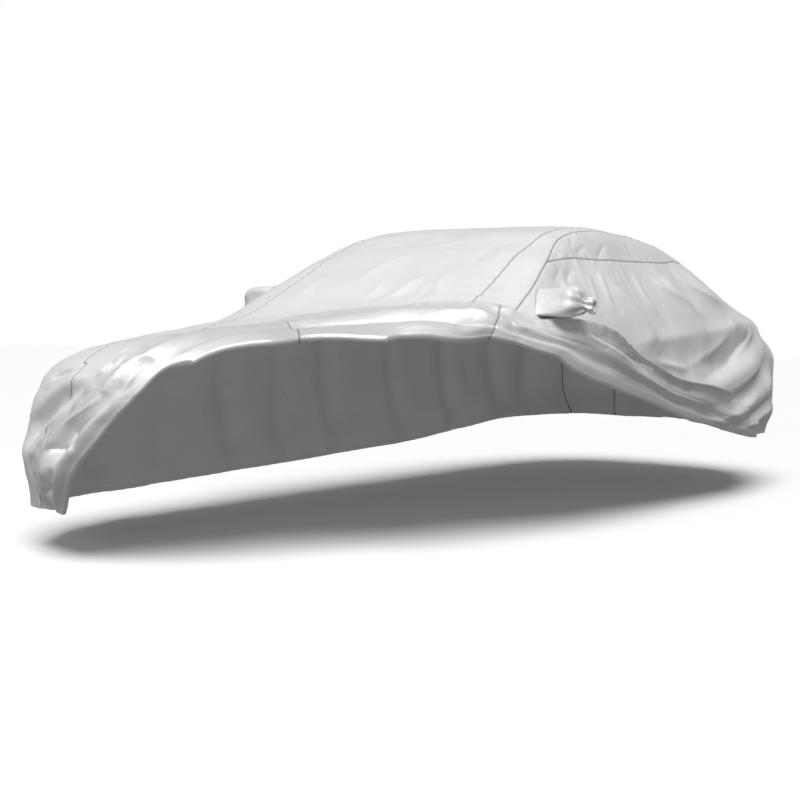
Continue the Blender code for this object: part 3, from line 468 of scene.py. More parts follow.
def blend(t, step, a, b, slope_a, slope_b):
    """A cubic between two values with the given slopes."""
    start = a * (2 * t**3 - 3 * t**2 + 1) + slope_a * step * (t**3 - 2 * t**2 + t)
    return start + b * (3 * t**2 - 2 * t**3) + slope_b * step * (t**3 - t**2)


def curve(table, x):
    """The table's other columns where its first column is x."""
    table = np.asarray(table, float)
    xs = table[:, :1]
    ys = table[:, 1:]
    slope = slopes(xs, ys)
    x = np.asarray(x, float)
    flat = x.ravel()
    i = np.clip(np.searchsorted(xs[:, 0], flat, side="right") - 1, 0, len(xs) - 2)
    step = xs[i + 1] - xs[i]
    t = np.clip((flat[:, None] - xs[i]) / step, 0, 1)
    out = blend(t, step, ys[i], ys[i + 1], slope[i], slope[i + 1])
    return out.reshape(x.shape + (ys.shape[1],))


def unit(v):
    return v / np.maximum(np.linalg.norm(v, axis=-1, keepdims=True), TINY)


def ease(t):
    """Takes 0 to 1 smoothly, level at both ends."""
    return t * t * (3 - 2 * t)


# The form.

def middles(station):
    """The y of the point that the cloth fans round, and the angle, at each station."""
    found = np.zeros((len(station), 2))
    for low, high in STRETCHES:
        here = (station >= low) & (station <= high)
        rows = [row[:3] for row in STATIONS[low:high + 1]]
        found[here] = curve(rows, station[here])
    return found[:, 0], np.radians(found[:, 1])


def shell(across, along):
    """Points of the form without folds."""
    across, along = np.broadcast_arrays(np.asarray(across, float), np.asarray(along, float))
    shape = across.shape
    across = across.ravel()
    along = along.ravel()
    beyond = np.maximum(FAN_FRONT - along, 0) + np.maximum(along - FAN_REAR, 0)
    row = np.clip(np.hypot(across, beyond), 0, RIM)
    turn = np.arctan2(beyond, abs(across)) / (np.pi / 2)
    ahead = along < FAN_FRONT
    behind = along > FAN_REAR
    fanned = np.where(ahead, -FAN_STATIONS, FAN_STATIONS) * turn
    station = np.clip(along, FAN_FRONT, FAN_REAR) + fanned
    at = curve(STATIONS, station)
    middle, fan = middles(station)
    width = np.concatenate([np.zeros((len(at), 1)), at[:, 3::2]], 1)
    height = at[:, 2::2]
    gap = np.hypot(np.diff(width, axis=1), np.diff(height, axis=1))
    run = np.concatenate([np.zeros((len(at), 1)), np.cumsum(gap, 1)], 1)
    i = np.clip(np.floor(row).astype(int), 0, int(RIM) - 1)
    n = np.arange(len(row))
    droop = (FRONT_RISE * ahead - REAR_FALL * behind) * np.sin(fan)
    found = []
    for values, first in ((width, 1.0), (height, -droop)):
        slope = slopes(run.T, values.T).T
        slope[:, 0] = first
        found.append(blend(row - i, gap[n, i], values[n, i], values[n, i + 1],
                           slope[n, i], slope[n, i + 1]))
    wide, high = found
    side = np.where(across < 0, -1.0, 1.0)
    y = middle - wide * np.sin(fan)
    return np.stack([side * wide * np.cos(fan), y, high], -1).reshape(shape + (3,))


def hem(along):
    """Where the plan ends, at the hem."""
    beyond = np.maximum(FAN_FRONT - along, 0) + np.maximum(along - FAN_REAR, 0)
    return np.sqrt(np.maximum(RIM**2 - beyond**2, 0))


# Folds, creases and seams on the form.

def outward_of(across, along):
    """The directions square to the form."""
    over = shell(across + STEP, along) - shell(across - STEP, along)
    on = shell(across, along + STEP) - shell(across, along - STEP)
    return unit(np.cross(over, on))


def bend(ends, t):
    """Points of a smooth line through three places, where t runs from 0 to 2."""
    a, b, c = (np.asarray(end, float)[..., None, :] for end in ends)
    t = t[:, None]
    return a * (1 - t) * (2 - t) / 2 + b * t * (2 - t) + c * t * (t - 1) / 2


class Creases:
    """Lines on a form, each with a half width, a height, a softness and how its ends fade."""

    def __init__(self, form, table, fade, end_share=0, steps=CREASE_STEPS):
        table = np.asarray(table, float)
        places = bend((table[:, 0:2], table[:, 2:4], table[:, 4:6]), np.linspace(0, 2, steps + 1))
        self.lines = form(places[..., 0], places[..., 1])
        self.half_width = table[:, 6]
        self.height = table[:, 7]
        self.softness = table[:, 8]
        self.fade = fade
        self.end_share = end_share

    def away(self, points, line):
        """Distance of each point to a line, and how far along the line the nearest place is."""
        nearest = np.full(len(points), np.inf)
        place = np.zeros(len(points))
        for i, (a, b) in enumerate(zip(line[:-1], line[1:])):
            edge = b - a
            t = np.clip((points - a) @ edge / max(edge @ edge, TINY), 0, 1)
            gap = np.linalg.norm(points - a - t[:, None] * edge, axis=1)
            closer = gap < nearest
            nearest = np.where(closer, gap, nearest)
            place = np.where(closer, (i + t) / (len(line) - 1), place)
        return nearest, place

    def lift(self, points):
        """How far the creases raise each point."""
        total = np.zeros(len(points))
        for n, line in enumerate(self.lines):
            reach = self.half_width[n] * CREASE_REACH
            low = line.min(axis=0) - reach
            high = line.max(axis=0) + reach
            near = np.flatnonzero(((points > low) & (points < high)).all(axis=1))
            if not len(near):
                continue
            gap, place = self.away(points[near], line)
            ends = ease(np.clip(np.minimum(place, 1 - place) / self.fade, 0, 1))
            ends = self.end_share + (1 - self.end_share) * ends
            soft = self.softness[n]
            q = gap / self.half_width[n]
            total[near] += self.height[n] * np.exp(-q * q * (1 + soft) / (soft + q)) * ends
        return total


class Trail:
    """Lines on the cloth: how far a point is from the nearest, and how far along that is."""

    def __init__(self, lines):
        points = []
        runs = []
        for line in lines:
            gaps = np.linalg.norm(np.diff(line, axis=0), axis=1)
            run = np.concatenate([[0], np.cumsum(gaps)])
            even = np.linspace(0, run[-1], max(2, int(run[-1] / TRAIL_STEP)))
            points.append(np.stack([np.interp(even, run, axis) for axis in line.T], -1))
            runs.append(even)
        self.points = np.concatenate(points)
        self.runs = np.concatenate(runs)
        self.tree = KDTree(len(self.points))
        for i, point in enumerate(self.points):
            self.tree.insert(point, i)
        self.tree.balance()

    def near(self, points):
        flat = points.reshape(-1, 3)
        found = [self.tree.find(point)[1:] for point in flat]
        away = np.array([gap for _, gap in found])
        run = self.runs[[i for i, _ in found]]
        return away.reshape(points.shape[:-1]), run.reshape(points.shape[:-1])


def shoulder(rows):
    return curve(SHOULDER_SEAM, rows)[..., 0]


def window(rows):
    return curve(WINDOW_SEAM, rows)[..., 0]


def seam(table, along):
    """A seam's place across, or the hem's where the seam has run off the plan."""
    inside = (along >= table[0][0]) & (along <= table[-1][0])
    return np.where(inside, np.minimum(curve(table, along)[..., 0], hem(along)), hem(along))


def turned(along):
    """The left lower edge: the turn of the folded-back skirt, then the hem behind it."""
    edge = curve(TURNED_EDGE, along)[..., 0]
    return np.where(along < TURNED_EDGE[-1][0], edge, hem(along))


def body_seams():
    """The seams of both sides, on the left only where the skirt's turn leaves them."""
    lines = []
    for table in (CROWN_SEAM, SHOULDER_SEAM, WINDOW_SEAM):
        along = np.linspace(table[0][0], table[-1][0], LINE_POINTS)
        place = np.minimum(curve(table, along)[:, 0], hem(along))
        seen = place <= turned(along) + TOUCHING
        lines.append(shell(-place, along))
        lines.append(shell(place[seen], along[seen]))
    return Trail(lines)


def body_hems():
    """The right hem, the left one behind the skirt, and the rear and front ends of the centre."""
    first = TURNED_ENDS[0]
    along = np.linspace(FRONT_HEM, TAIL, LINE_POINTS)
    behind = along[along > TURNED_EDGE[-1][0]]
    rear = np.linspace(-hem(TAIL), hem(TAIL), REAR_POINTS)
    front = np.linspace(-hem(first), turned(first), FRONT_POINTS)
    return Trail([
        shell(-hem(along), along),
        shell(hem(behind), behind),
        shell(rear, np.full(REAR_POINTS, TAIL)),
        shell(front, np.full(FRONT_POINTS, first)),
    ])


BODY_SEAMS = body_seams()
BODY_HEMS = body_hems()


def wrinkle(middle, reach, bow, width, height):
    """A row of the table of creases."""
    ends = (*(middle - reach), *(middle + bow), *(middle + reach))
    return (*ends, width, height, WRINKLE_SOFTNESS)


def fine_wrinkles():
    """A table of small creases, as the cloth's own stiffness makes them, upright on the sides."""
    chance = np.random.default_rng(WRINKLE_SEED)
    rows = []
    while len(rows) < WRINKLES:
        across = chance.uniform(*WRINKLE_ACROSS)
        along = chance.uniform(*WRINKLE_ALONG)
        if abs(across) > hem(along) - WRINKLE_MARGIN:
            continue
        way = chance.normal(0, SIDE_LEAN if abs(across) > SIDE_FROM else TOP_LEAN)
        half = chance.uniform(*WRINKLE_HALF)
        reach = np.array((np.cos(way), np.sin(way))) * half
        bow = np.array((-reach[1], reach[0])) * chance.uniform(*WRINKLE_BOW)
        width = chance.uniform(*WRINKLE_WIDTH)
        height = chance.choice((-1, 1)) * width * chance.uniform(*WRINKLE_RISE)
        rows.append(wrinkle(np.array((across, along)), reach, bow, width, height))
    return rows


def ripple(points):
    """The gentle unevenness of loosely held cloth."""
    chance = np.random.default_rng(RIPPLE_SEED)
    total = np.zeros(points.shape[:-1])
    for _ in range(RIPPLES):
        way = unit(chance.normal(size=3))
        wave = chance.uniform(*RIPPLE_WAVES)
        total += np.sin(points @ way * 2 * np.pi / wave + chance.uniform(0, RIPPLE_TURN)) * wave
    return total * RIPPLE_SHARE


BODY_FOLDS = Creases(shell, [(*row, FOLD_SOFTNESS) for row in FOLDS], FOLD_FADE, FOLD_END)
BODY_CREASES = Creases(shell, CREASES, CREASE_FADE)
BODY_WRINKLES = Creases(shell, fine_wrinkles(), CREASE_FADE, steps=WRINKLE_STEPS)


def drifting(run, radian, drift, over):
    """A wave whose length drifts, so that it never quite repeats."""
    return np.sin(run / radian + drift * np.sin(run / over))


def pucker(away, run):
    """The dip along a seam, and the short gathers that its thread draws up beside it."""
    gather = drifting(run, *GATHER_WAVE) + GATHER_SHARE * np.sin(run / GATHER_SECOND + 1)
    swell = drifting(run, *GATHER_SWELL)**2
    gather = gather * (GATHER_LEAST + (1 - GATHER_LEAST) * swell)
    dip = -SEAM_DEPTH * np.exp(-(away / SEAM_HALF)**2)
    return dip + PUCKER * gather * np.exp(-(away / PUCKER_REACH)**2) * (away > 0)


def ruffle(away, run):
    """The soft waves of an elastic hem."""
    wave = drifting(run, *RUFFLE_WAVE) + RUFFLE_SHARE * np.sin(run / RUFFLE_SECOND)
    return RUFFLE * wave * np.exp(-(away / RUFFLE_REACH)**2)


def body(across, along):
    """Points of the form and its outward directions, then how far large folds and fine creases
    raise the cloth there, and the cloth's first three marks."""
    across = np.clip(across, -hem(along), hem(along))
    points = shell(across, along)
    out = outward_of(across, along)
    seam_away, seam_run = BODY_SEAMS.near(points)
    hem_away, hem_run = BODY_HEMS.near(points)
    flat = points.reshape(-1, 3)
    folds = BODY_FOLDS.lift(flat)
    fine = BODY_CREASES.lift(flat) + BODY_WRINKLES.lift(flat) + ripple(flat)
    fine = fine.reshape(seam_away.shape) + pucker(seam_away, seam_run) + ruffle(hem_away, hem_run)
    folds = folds.reshape(fine.shape)
    return points, out, folds, fine, np.stack([seam_away, seam_run, hem_away], -1)


# Panels: rows and columns of cloth between two seams.

def plan_rows():
    """Rows of the panels' grid, about a cell apart, with one wherever a seam ends."""
    fine = np.linspace(TURNED_ENDS[0], TAIL, LONG_SAMPLES)
    lines = [shell(np.full(LONG_SAMPLES, x), fine) for x in MEASURED_AT]
    moved = np.mean([np.linalg.norm(np.diff(line, axis=0), axis=1) for line in lines], axis=0)
    edge = shell(turned(fine), fine)
    along_edge = np.linalg.norm(np.diff(edge, axis=0), axis=1)
    moved = np.maximum(moved, np.where(fine[1:] < TURNED_ENDS[2], EDGE_SHARE * along_edge, 0))
    run = np.concatenate([[0], np.cumsum(moved)])
    even = np.interp(np.linspace(0, run[-1], int(run[-1] / CELL)), run, fine)
    low, high = WINDOW_ENDS
    seams = [CROWN_SEAM[0][0], SHOULDER_SEAM[0][0], SHOULDER_SEAM[-1][0], CROWN_SEAM[-1][0]]
    windows = [low, low + WINDOW_TIP, high - WINDOW_TIP, high]
    fixed = [*TURNED_ENDS, *seams, *windows, TURNED_EDGE[-1][0], TAIL, POCKET_AT[1]]
    for join in TURNED_ENDS[1:3]:
        for gap in SEAM_CELLS[1:]:
            fixed += list(np.interp(np.interp(join, fine, run) + np.array((-gap, gap)), run, fine))
    place = np.interp(fixed, fine, run)
    room = CELL * ROW_ROOM
    kept = [y for y in even if abs(place - np.interp(y, fine, run)).min() > room]
    return np.array(sorted(kept + fixed))


ROWS = plan_rows()


def spread(start, end, along, columns):
    """Places across each row, evenly spaced over the cloth but closer beside its two edges."""
    share = np.linspace(0, 1, SAMPLES)
    fine = start[:, None] + (end - start)[:, None] * share
    line = shell(fine, along[:, None])
    gaps = np.linalg.norm(np.diff(line, axis=1), axis=2)
    run = np.concatenate([np.zeros((len(along), 1)), np.cumsum(gaps, 1)], 1)
    near = np.array(SEAM_CELLS)
    places = np.repeat(start[:, None], columns + 1, 1)
    runs = np.zeros((len(along), columns + 1))
    for i, total in enumerate(run[:, -1]):
        if total < SAME:
            continue
        first = near * min(1, total / SEAM_ROOM)
        inner = np.linspace(first[-1], total - first[-1], columns + 3 - 2 * len(near))[1:-1]
        want = np.concatenate([first, inner, total - first[::-1]])
        places[i] = np.interp(want, run[i], fine[i])
        runs[i] = want
    return places, runs


class Cloth:
    """A sheet's middle surface: points, their marks and triangles."""

    def __init__(self):
        self.points = np.zeros((0, 3))
        self.marks = np.zeros((0, len(MARKS)))
        self.faces = np.zeros((0, 3), int)

    def add(self, points, marks):
        """Takes in a block of points, and returns their numbers in the same layout."""
        first = len(self.points)
        self.points = np.concatenate([self.points, points.reshape(-1, 3)])
        self.marks = np.concatenate([self.marks, marks.reshape(-1, len(MARKS))])
        return first + np.arange(points[..., 0].size).reshape(points.shape[:-1])

    def stitch(self, numbers, hole=None):
        """Triangles between the rows, where numbers that repeat close a square up."""
        corners = np.stack([numbers[:-1, :-1], numbers[:-1, 1:],
                            numbers[1:, 1:], numbers[1:, :-1]], -1)
        if hole is not None:
            corners = corners[~hole]
        corners = corners.reshape(-1, 4)
        at = self.points[corners]
        straight = np.linalg.norm(at[:, 0] - at[:, 2], axis=1)
        other = np.linalg.norm(at[:, 1] - at[:, 3], axis=1)
        short = (straight < other)[:, None]
        halves = [np.where(short, corners[:, [0, 1, 2]], corners[:, [0, 1, 3]]),
                  np.where(short, corners[:, [0, 2, 3]], corners[:, [1, 2, 3]])]
        faces = np.concatenate(halves)
        a, b, c = faces.T
        self.faces = np.concatenate([self.faces, faces[(a != b) & (b != c) & (c != a)]])

    def normals(self):
        at = self.points[self.faces]
        facing = np.cross(at[:, 1] - at[:, 0], at[:, 2] - at[:, 0])
        total = np.zeros_like(self.points)
        for corner in range(3):
            np.add.at(total, self.faces[:, corner], facing)
        return unit(total)


def seam_pull(points, way):
    """The direction into the panel along the row, from the edge's own column."""
    inner = points[:, 2] - points[:, 0] if way > 0 else points[:, -3] - points[:, -1]
    return unit(inner)


def panel(cloth, low, high, start, end, columns, pocket_side=None):
    """A grid of cloth from one edge to the other, in rows between two places along.

    An edge is two functions of the rows: its place across, and 1 where it is sewn.
    """
    rows = ROWS[(ROWS >= low - SAME) & (ROWS <= high + SAME)]
    places, runs = spread(start[0](rows), end[0](rows), rows, columns)
    along = np.repeat(rows[:, None], columns + 1, 1)
    base, out, folds, fine, marks = body(places, along)
    points = base + out * (folds + fine)[..., None]
    for column, way, sewn in ((0, 1, start[1]), (-1, -1, end[1])):
        pull = seam_pull(base, way)
        points[:, column] += pull * (sewn(rows) * SEAM_GAP)[:, None]
    lengths = np.linalg.norm(np.diff(base[:, columns // 2], axis=0), axis=1)
    down = np.concatenate([[0], np.cumsum(lengths)])
    down = np.repeat(down[:, None], columns + 1, 1)
    numbers = cloth.add(points, np.concatenate([marks, np.stack([runs, down], -1)], -1))
    narrow = np.ptp(places, axis=1) < TIP
    numbers[narrow] = numbers[narrow, :1]
    cloth.stitch(numbers, pocket_hole(base, rows, pocket_side) if pocket_side else None)
    return numbers, rows


def pocket_hole(base, rows, side):
    """The squares left out under the mirror pocket."""
    row = int(np.argmin(abs(rows - POCKET_AT[1])))
    target = shell(side * POCKET_AT[0], POCKET_AT[1])
    column = int(np.argmin(np.linalg.norm(base[row] - target, axis=1)))
    reach = np.linalg.norm(base[row:, column] - base[row, column], axis=1)
    drop = np.linalg.norm(base[row, column:] - base[row, column], axis=1)
    r = int(np.searchsorted(reach, POCKET_HALF[0]))
    c = int(np.searchsorted(drop, POCKET_HALF[1]))
    hole = np.zeros((base.shape[0] - 1, base.shape[1] - 1), bool)
    hole[row - r:row + r, column - c:column + c] = True
    return hole


# The folded-back skirt.

def skirt_path(rows, share):
    """Places on the plan a share of the way from the turned edge to the free hem."""
    free = curve(SKIRT, rows)[..., :2]
    start = np.stack([turned(rows), rows], -1)
    place = start + (free - start) * share[..., None]
    return place[..., 0], place[..., 1]


def standoff(rows, share):
    """How far the skirt stands off the cloth below it."""
    rise = curve(SKIRT, rows)[:, 2:]
    rise = np.column_stack([2 * rise[:, 0], rise[:, 1:]])
    return curve(np.column_stack([SKIRT_PLACES, rise.T]), share).T


def flap_form(along, share):
    """Points of the skirt without its creases, for placing them."""
    across, down = skirt_path(along, share)
    points = shell(across, down)
    folds = BODY_FOLDS.lift(points.reshape(-1, 3)).reshape(points.shape[:-1])
    height = np.array([
        [standoff(np.array([a]), np.array([s]))[0, 0] for a, s in zip(*pair)]
        for pair in zip(np.atleast_2d(along), np.atleast_2d(share))
    ]).reshape(folds.shape)
    return points + outward_of(across, down) * (folds + height)[..., None]


def flap_wrinkles():
    """A table of small creases of the skirt, mostly from its turned edge to its hem."""
    chance = np.random.default_rng(WRINKLE_SEED + 1)
    rows = []
    for _ in range(FLAP_WRINKLES):
        along = chance.uniform(*FLAP_ALONG)
        share = chance.uniform(*FLAP_SHARE)
        lean = chance.normal(0, FLAP_LEAN)
        reach = np.array((lean, chance.uniform(*FLAP_HALF)))
        width = chance.uniform(*FLAP_WIDTH)
        height = chance.choice((-1, 1)) * width * chance.uniform(*FLAP_RISE)
        bow = np.array((chance.uniform(*FLAP_BOW), 0))
        rows.append(wrinkle(np.array((along, share)), reach, bow, width, height))
    return rows


def flap_seam(join):
    """Points of the skirt where two panels' stretches of it meet."""
    return flap_form(np.full(SKIRT_SEAM_POINTS, join), np.linspace(0, 1, SKIRT_SEAM_POINTS))


def flap_hem():
    along = np.linspace(TURNED_ENDS[0], TURNED_ENDS[3], SKIRT_HEM_POINTS)
    return flap_form(along, np.ones(SKIRT_HEM_POINTS))


FLAP = Creases(flap_form, list(FLAP_CREASES) + flap_wrinkles(), CREASE_FADE)
FLAP_SEAMS = Trail([flap_seam(join) for join in TURNED_ENDS[1:3]])
FLAP_HEM = Trail([flap_hem()])


def skirt_points(rows):
    """The folded-back skirt from its turned edge to its hem, one line for each row."""
    even = np.linspace(0, 1, SKIRT_COLUMNS - len(HEM_SHARES))
    share = np.unique(np.concatenate([even, HEM_SHARES]))
    along = np.repeat(rows[:, None], len(share), 1)
    down = np.repeat(share[None], len(rows), 0)
    across, place = skirt_path(along, down)
    under, out, folds, fine, _ = body(across, place)
    height = standoff(rows, share)
    rough = under + out * (folds + height)[..., None]
    seam_away, seam_run = FLAP_SEAMS.near(rough)
    hem_away, hem_run = FLAP_HEM.near(rough)
    lift = FLAP.lift(rough.reshape(-1, 3)).reshape(height.shape) + ripple(rough) * SKIRT_RIPPLE
    merged = np.clip((place - MERGE_FROM) / MERGE_OVER, 0, 1)
    lift += BODY_CREASES.lift(under.reshape(-1, 3)).reshape(height.shape) * merged
    lift += pucker(seam_away, seam_run) + ruffle(hem_away, hem_run)
    start = np.exp(-(down / TURN_BLEND)**2)
    wanted = height + lift * (1 - start) + fine * start
    least = fine + SKIRT_CLEAR
    wanted = least + CLEAR_SOFT * np.logaddexp(0, (wanted - least) / CLEAR_SOFT)
    points = under + out * (folds + wanted)[..., None]
    return points, out, np.stack([seam_away, seam_run, hem_away], -1)


def skirt(cloth, edge, rows, sewn_ends):
    """The turned-up cloth that goes on from the panel's edge, a row for each place on it."""
    points, out, marks = skirt_points(rows)
    base = cloth.points[edge]
    inward = unit(points[:, 3] - points[:, 0])
    inward = unit(inward - out[:, 0] * (inward * out[:, 0]).sum(-1, keepdims=True))
    radius = (points[:, 0] - base) / 2
    lean = np.linalg.norm(radius, axis=1, keepdims=True)
    turn = [base + radius * (1 + np.sin(angle)) - inward * lean * np.cos(angle)
            for angle in np.linspace(-np.pi / 2, np.pi / 2, TURN_STEPS + 1)[1:-1]]
    turn = np.stack(turn, 1)
    points = np.concatenate([turn, points], 1)
    marks = np.concatenate([np.repeat(marks[:, :1], TURN_STEPS - 1, 1), marks], 1)
    for row, nxt, sewn in ((0, 1, sewn_ends[0]), (-1, -2, sewn_ends[1])):
        if sewn:
            pull = unit(points[nxt] - points[row])
            points[row] += pull * SEAM_GAP
            cloth.points[edge[row]] += unit(base[nxt] - base[row]) * SEAM_GAP
    gaps = np.linalg.norm(np.diff(points, axis=1), axis=2)
    over = np.concatenate([np.zeros((len(rows), 1)), np.cumsum(gaps, 1)], 1)
    start = cloth.marks[edge][:, 3:]
    weave = np.stack([start[:, :1] + over, np.repeat(start[:, 1:], over.shape[1], 1)], -1)
    numbers = cloth.add(points, np.concatenate([marks, weave], -1))
    cloth.stitch(np.concatenate([edge[:, None], numbers], 1))


# Mirror pockets.

def pocket_ring(row, turn, middle, side):
    """One ring of a mirror pocket, in the plane at its distance out."""
    out, back, rise, length, height, square, pleats, lean = row
    round_off = (abs(np.cos(turn))**square + abs(np.sin(turn))**square)**(-1 / square)
    wave = round_off * (1 + pleats * np.cos(PLEATS * turn + PLEAT_DRIFT * np.sin(turn)))
    up = height * wave * np.sin(turn)
    forth = back + length * wave * np.cos(turn) + lean * up
    return middle + np.stack([np.full_like(turn, side * out), forth, rise + up], -1)


def on_panel(panel_cloth, places):
    """Where the panel lies behind each place, seen from the side, and its outward directions."""
    normals = panel_cloth.normals()
    found = places.copy()
    nearest = [np.argmin(((panel_cloth.points - place)[:, 1:]**2).sum(axis=1)) for place in places]
    points = panel_cloth.points[nearest]
    outward = normals[nearest]
    shift = ((points - places) * outward)[:, 1:].sum(axis=1) / outward[:, 0]
    found[:, 0] = points[:, 0] + shift
    return found, outward


def mirror_pocket(name, panel_cloth, side):
    """A pouch sewn on round the hole in the side panel."""
    table = np.asarray(POCKET_RINGS[side])
    turn = np.linspace(0, 2 * np.pi, POCKET_AROUND, endpoint=False)
    middle = shell(side * POCKET_AT[0], POCKET_AT[1])
    place = np.linspace(0, table[-1, 0], POCKET_STEPS)
    rows = curve(table, place)
    ring, outward = on_panel(panel_cloth, pocket_ring(rows[0], turn, middle, side))
    start = ring + outward * (CLOTH / 2 + POCKET_GAP)
    points = []
    for at, row in zip(place, rows):
        share = ease(np.clip(at / POCKET_BLEND, 0, 1))
        own = pocket_ring(row, turn, middle, side)
        mouth = start + outward * row[0] * POCKET_FLARE
        points.append(mouth * (1 - share) + own * share)
    points = np.array(points)
    shape = points.shape[:2]
    flat = points.reshape(-1, 3)
    normal = unit(np.cross(np.roll(points, -1, axis=1) - np.roll(points, 1, axis=1),
                           np.gradient(points, axis=0)))
    turned_round = (normal[2] * (points[2] - points[2].mean(axis=0))).sum() < 0
    if turned_round:
        normal = -normal
    rough = ripple(flat * POCKET_RIPPLE_SIZE).reshape(shape) * POCKET_RIPPLE
    rough += crumple(place, turn, side)
    points += normal * (rough * np.clip(place / POCKET_CALM, 0, 1)[:, None])[..., None]
    around = np.linalg.norm(np.roll(ring, -1, axis=0) - ring, axis=1)
    run = np.repeat(np.cumsum(around)[None], POCKET_STEPS, 0)
    out_run = np.linalg.norm(np.diff(points, axis=0), axis=2).mean(axis=1)
    away = np.repeat(np.concatenate([[0], np.cumsum(out_run)])[:, None], len(turn), 1)
    marks = np.stack([away, run, np.full(shape, FAR), run, away], -1)
    cloth = Cloth()
    numbers = cloth.add(points, marks)
    numbers = np.concatenate([numbers, numbers[:, :1]], 1)
    tip = cloth.add(points[-1].mean(axis=0)[None, None], marks[-1:, :1])
    numbers = np.concatenate([numbers, np.full((1, numbers.shape[1]), tip[0, 0])])
    cloth.stitch(numbers[:, ::-1] if turned_round else numbers)
    return solid(name, cloth)


def crumple(place, turn, side):
    """Creases of a mirror pocket, four wide and seven narrow, that run out to its gathered end."""
    low, high = POCKET_CREASED
    wave = np.sin(4 * turn + 1.3 * side) + 0.7 * np.sin(7 * turn + 2 * side)
    swell = np.clip(place - low, 0, 1) * np.clip(high - place, 0, 1)
    return POCKET_CREASE * swell[:, None] * wave[None]


# Closed sheets and the cloth's finish.

def solid(name, cloth):
    """One closed sheet: both sides of the cloth and a wall round each of its edges."""
    used, faces = np.unique(cloth.faces, return_inverse=True)
    normals = cloth.normals()[used]
    points = cloth.points[used]
    marks = cloth.marks[used]
    faces = faces.reshape(-1, 3)
    count = len(points)
    doubled = np.clip((HEM_WIDTH - marks[:, 2]) / HEM_SOFT, 0, 1)
    half = normals * (CLOTH / 2 * (1 + HEM_EXTRA * doubled))[:, None]
    sheet = np.concatenate([points + half, points - half])
    ways = np.concatenate([faces[:, [0, 1]], faces[:, [1, 2]], faces[:, [2, 0]]])
    code = ways[:, 0] * count + ways[:, 1]
    back = ways[:, 1] * count + ways[:, 0]
    a, b = ways[~np.isin(code, back)].T
    walls = np.concatenate([np.stack([b, a, b + count], -1),
                            np.stack([a, a + count, b + count], -1)])
    every = np.concatenate([faces, faces[:, ::-1] + count, walls])
    mesh = bpy.data.meshes.new(name)
    mesh.from_pydata((sheet - UNDER_TOP).tolist(), [], every.tolist())
    for i, mark in enumerate(MARKS):
        attribute = mesh.attributes.new(mark, "FLOAT", "POINT")
        attribute.data.foreach_set("value", np.tile(marks[:, i], 2))
    inner = np.arange(len(every)) >= len(faces)
    mesh.materials.append(OUTER)
    mesh.materials.append(INNER)
    mesh.polygons.foreach_set("material_index", inner.astype(np.int32))
    mesh.update()
    mesh.shade_smooth()
    mesh.set_sharp_from_angle(angle=np.radians(SHARP_ANGLE))
    piece = bpy.data.objects.new(name, mesh)
    bpy.context.scene.collection.objects.link(piece)
    return piece


class Value:
    """A number or colour that changes over a surface, so that sums can be written with it."""

    def __init__(self, recipe, socket):
        self.recipe = recipe
        self.socket = socket

    def math(self, operation, first, second):
        return self.recipe.node("ShaderNodeMath", {"operation": operation}, {0: first, 1: second})

    def __add__(self, other):
        return self.math("ADD", self, other)

    def __radd__(self, other):
        return self.math("ADD", other, self)

    def __sub__(self, other):
        return self.math("SUBTRACT", self, other)

    def __rsub__(self, other):
        return self.math("SUBTRACT", other, self)

    def __mul__(self, other):
        return self.math("MULTIPLY", self, other)

    def __rmul__(self, other):
        return self.math("MULTIPLY", other, self)

    def sine(self):
        return self.math("SINE", self, 0.0)

    def size(self):
        return self.math("ABSOLUTE", self, 0.0)

    def band(self, low, high):
        """0 below low and 1 above high, or the other way round, and smooth between."""
        settings = {"interpolation_type": "SMOOTHSTEP"}
        return self.recipe.node("ShaderNodeMapRange", settings,
                                {"Value": self, "From Min": low, "From Max": high})


class Recipe:
    """A material's nodes."""

    def __init__(self, name):
        self.material = bpy.data.materials.new(name)
        self.material.use_nodes = True
        self.tree = self.material.node_tree
        self.shader = self.tree.nodes["Principled BSDF"]

    def node(self, kind, settings, inputs, output=0):
        node = self.tree.nodes.new(kind)
        for name, value in settings.items():
            setattr(node, name, value)
        for key, value in inputs.items():
            self.feed(node.inputs[key], value)
        return Value(self, node.outputs[output])

    def feed(self, socket, value):
        if isinstance(value, Value):
            self.tree.links.new(value.socket, socket)
        else:
            socket.default_value = value

    def set(self, name, value):
        self.feed(self.shader.inputs[name], value)

    def mark(self, name):
        return self.node("ShaderNodeAttribute", {"attribute_name": name}, {}, "Fac")

    def noise(self, at, scale, detail, roughness):
        inputs = {"Vector": at, "Scale": scale, "Detail": detail, "Roughness": roughness}
        return self.node("ShaderNodeTexNoise", {}, inputs)

    def mix(self, share, first, second):
        settings = {"data_type": "RGBA"}
        return self.node("ShaderNodeMix", settings, {0: share, 6: first, 7: second}, 2)

    def bump(self, height, depth, under=None):
        inputs = {"Height": height, "Distance": depth, "Strength": 1.0}
        if under:
            inputs["Normal"] = under
        return self.node("ShaderNodeBump", {}, inputs)


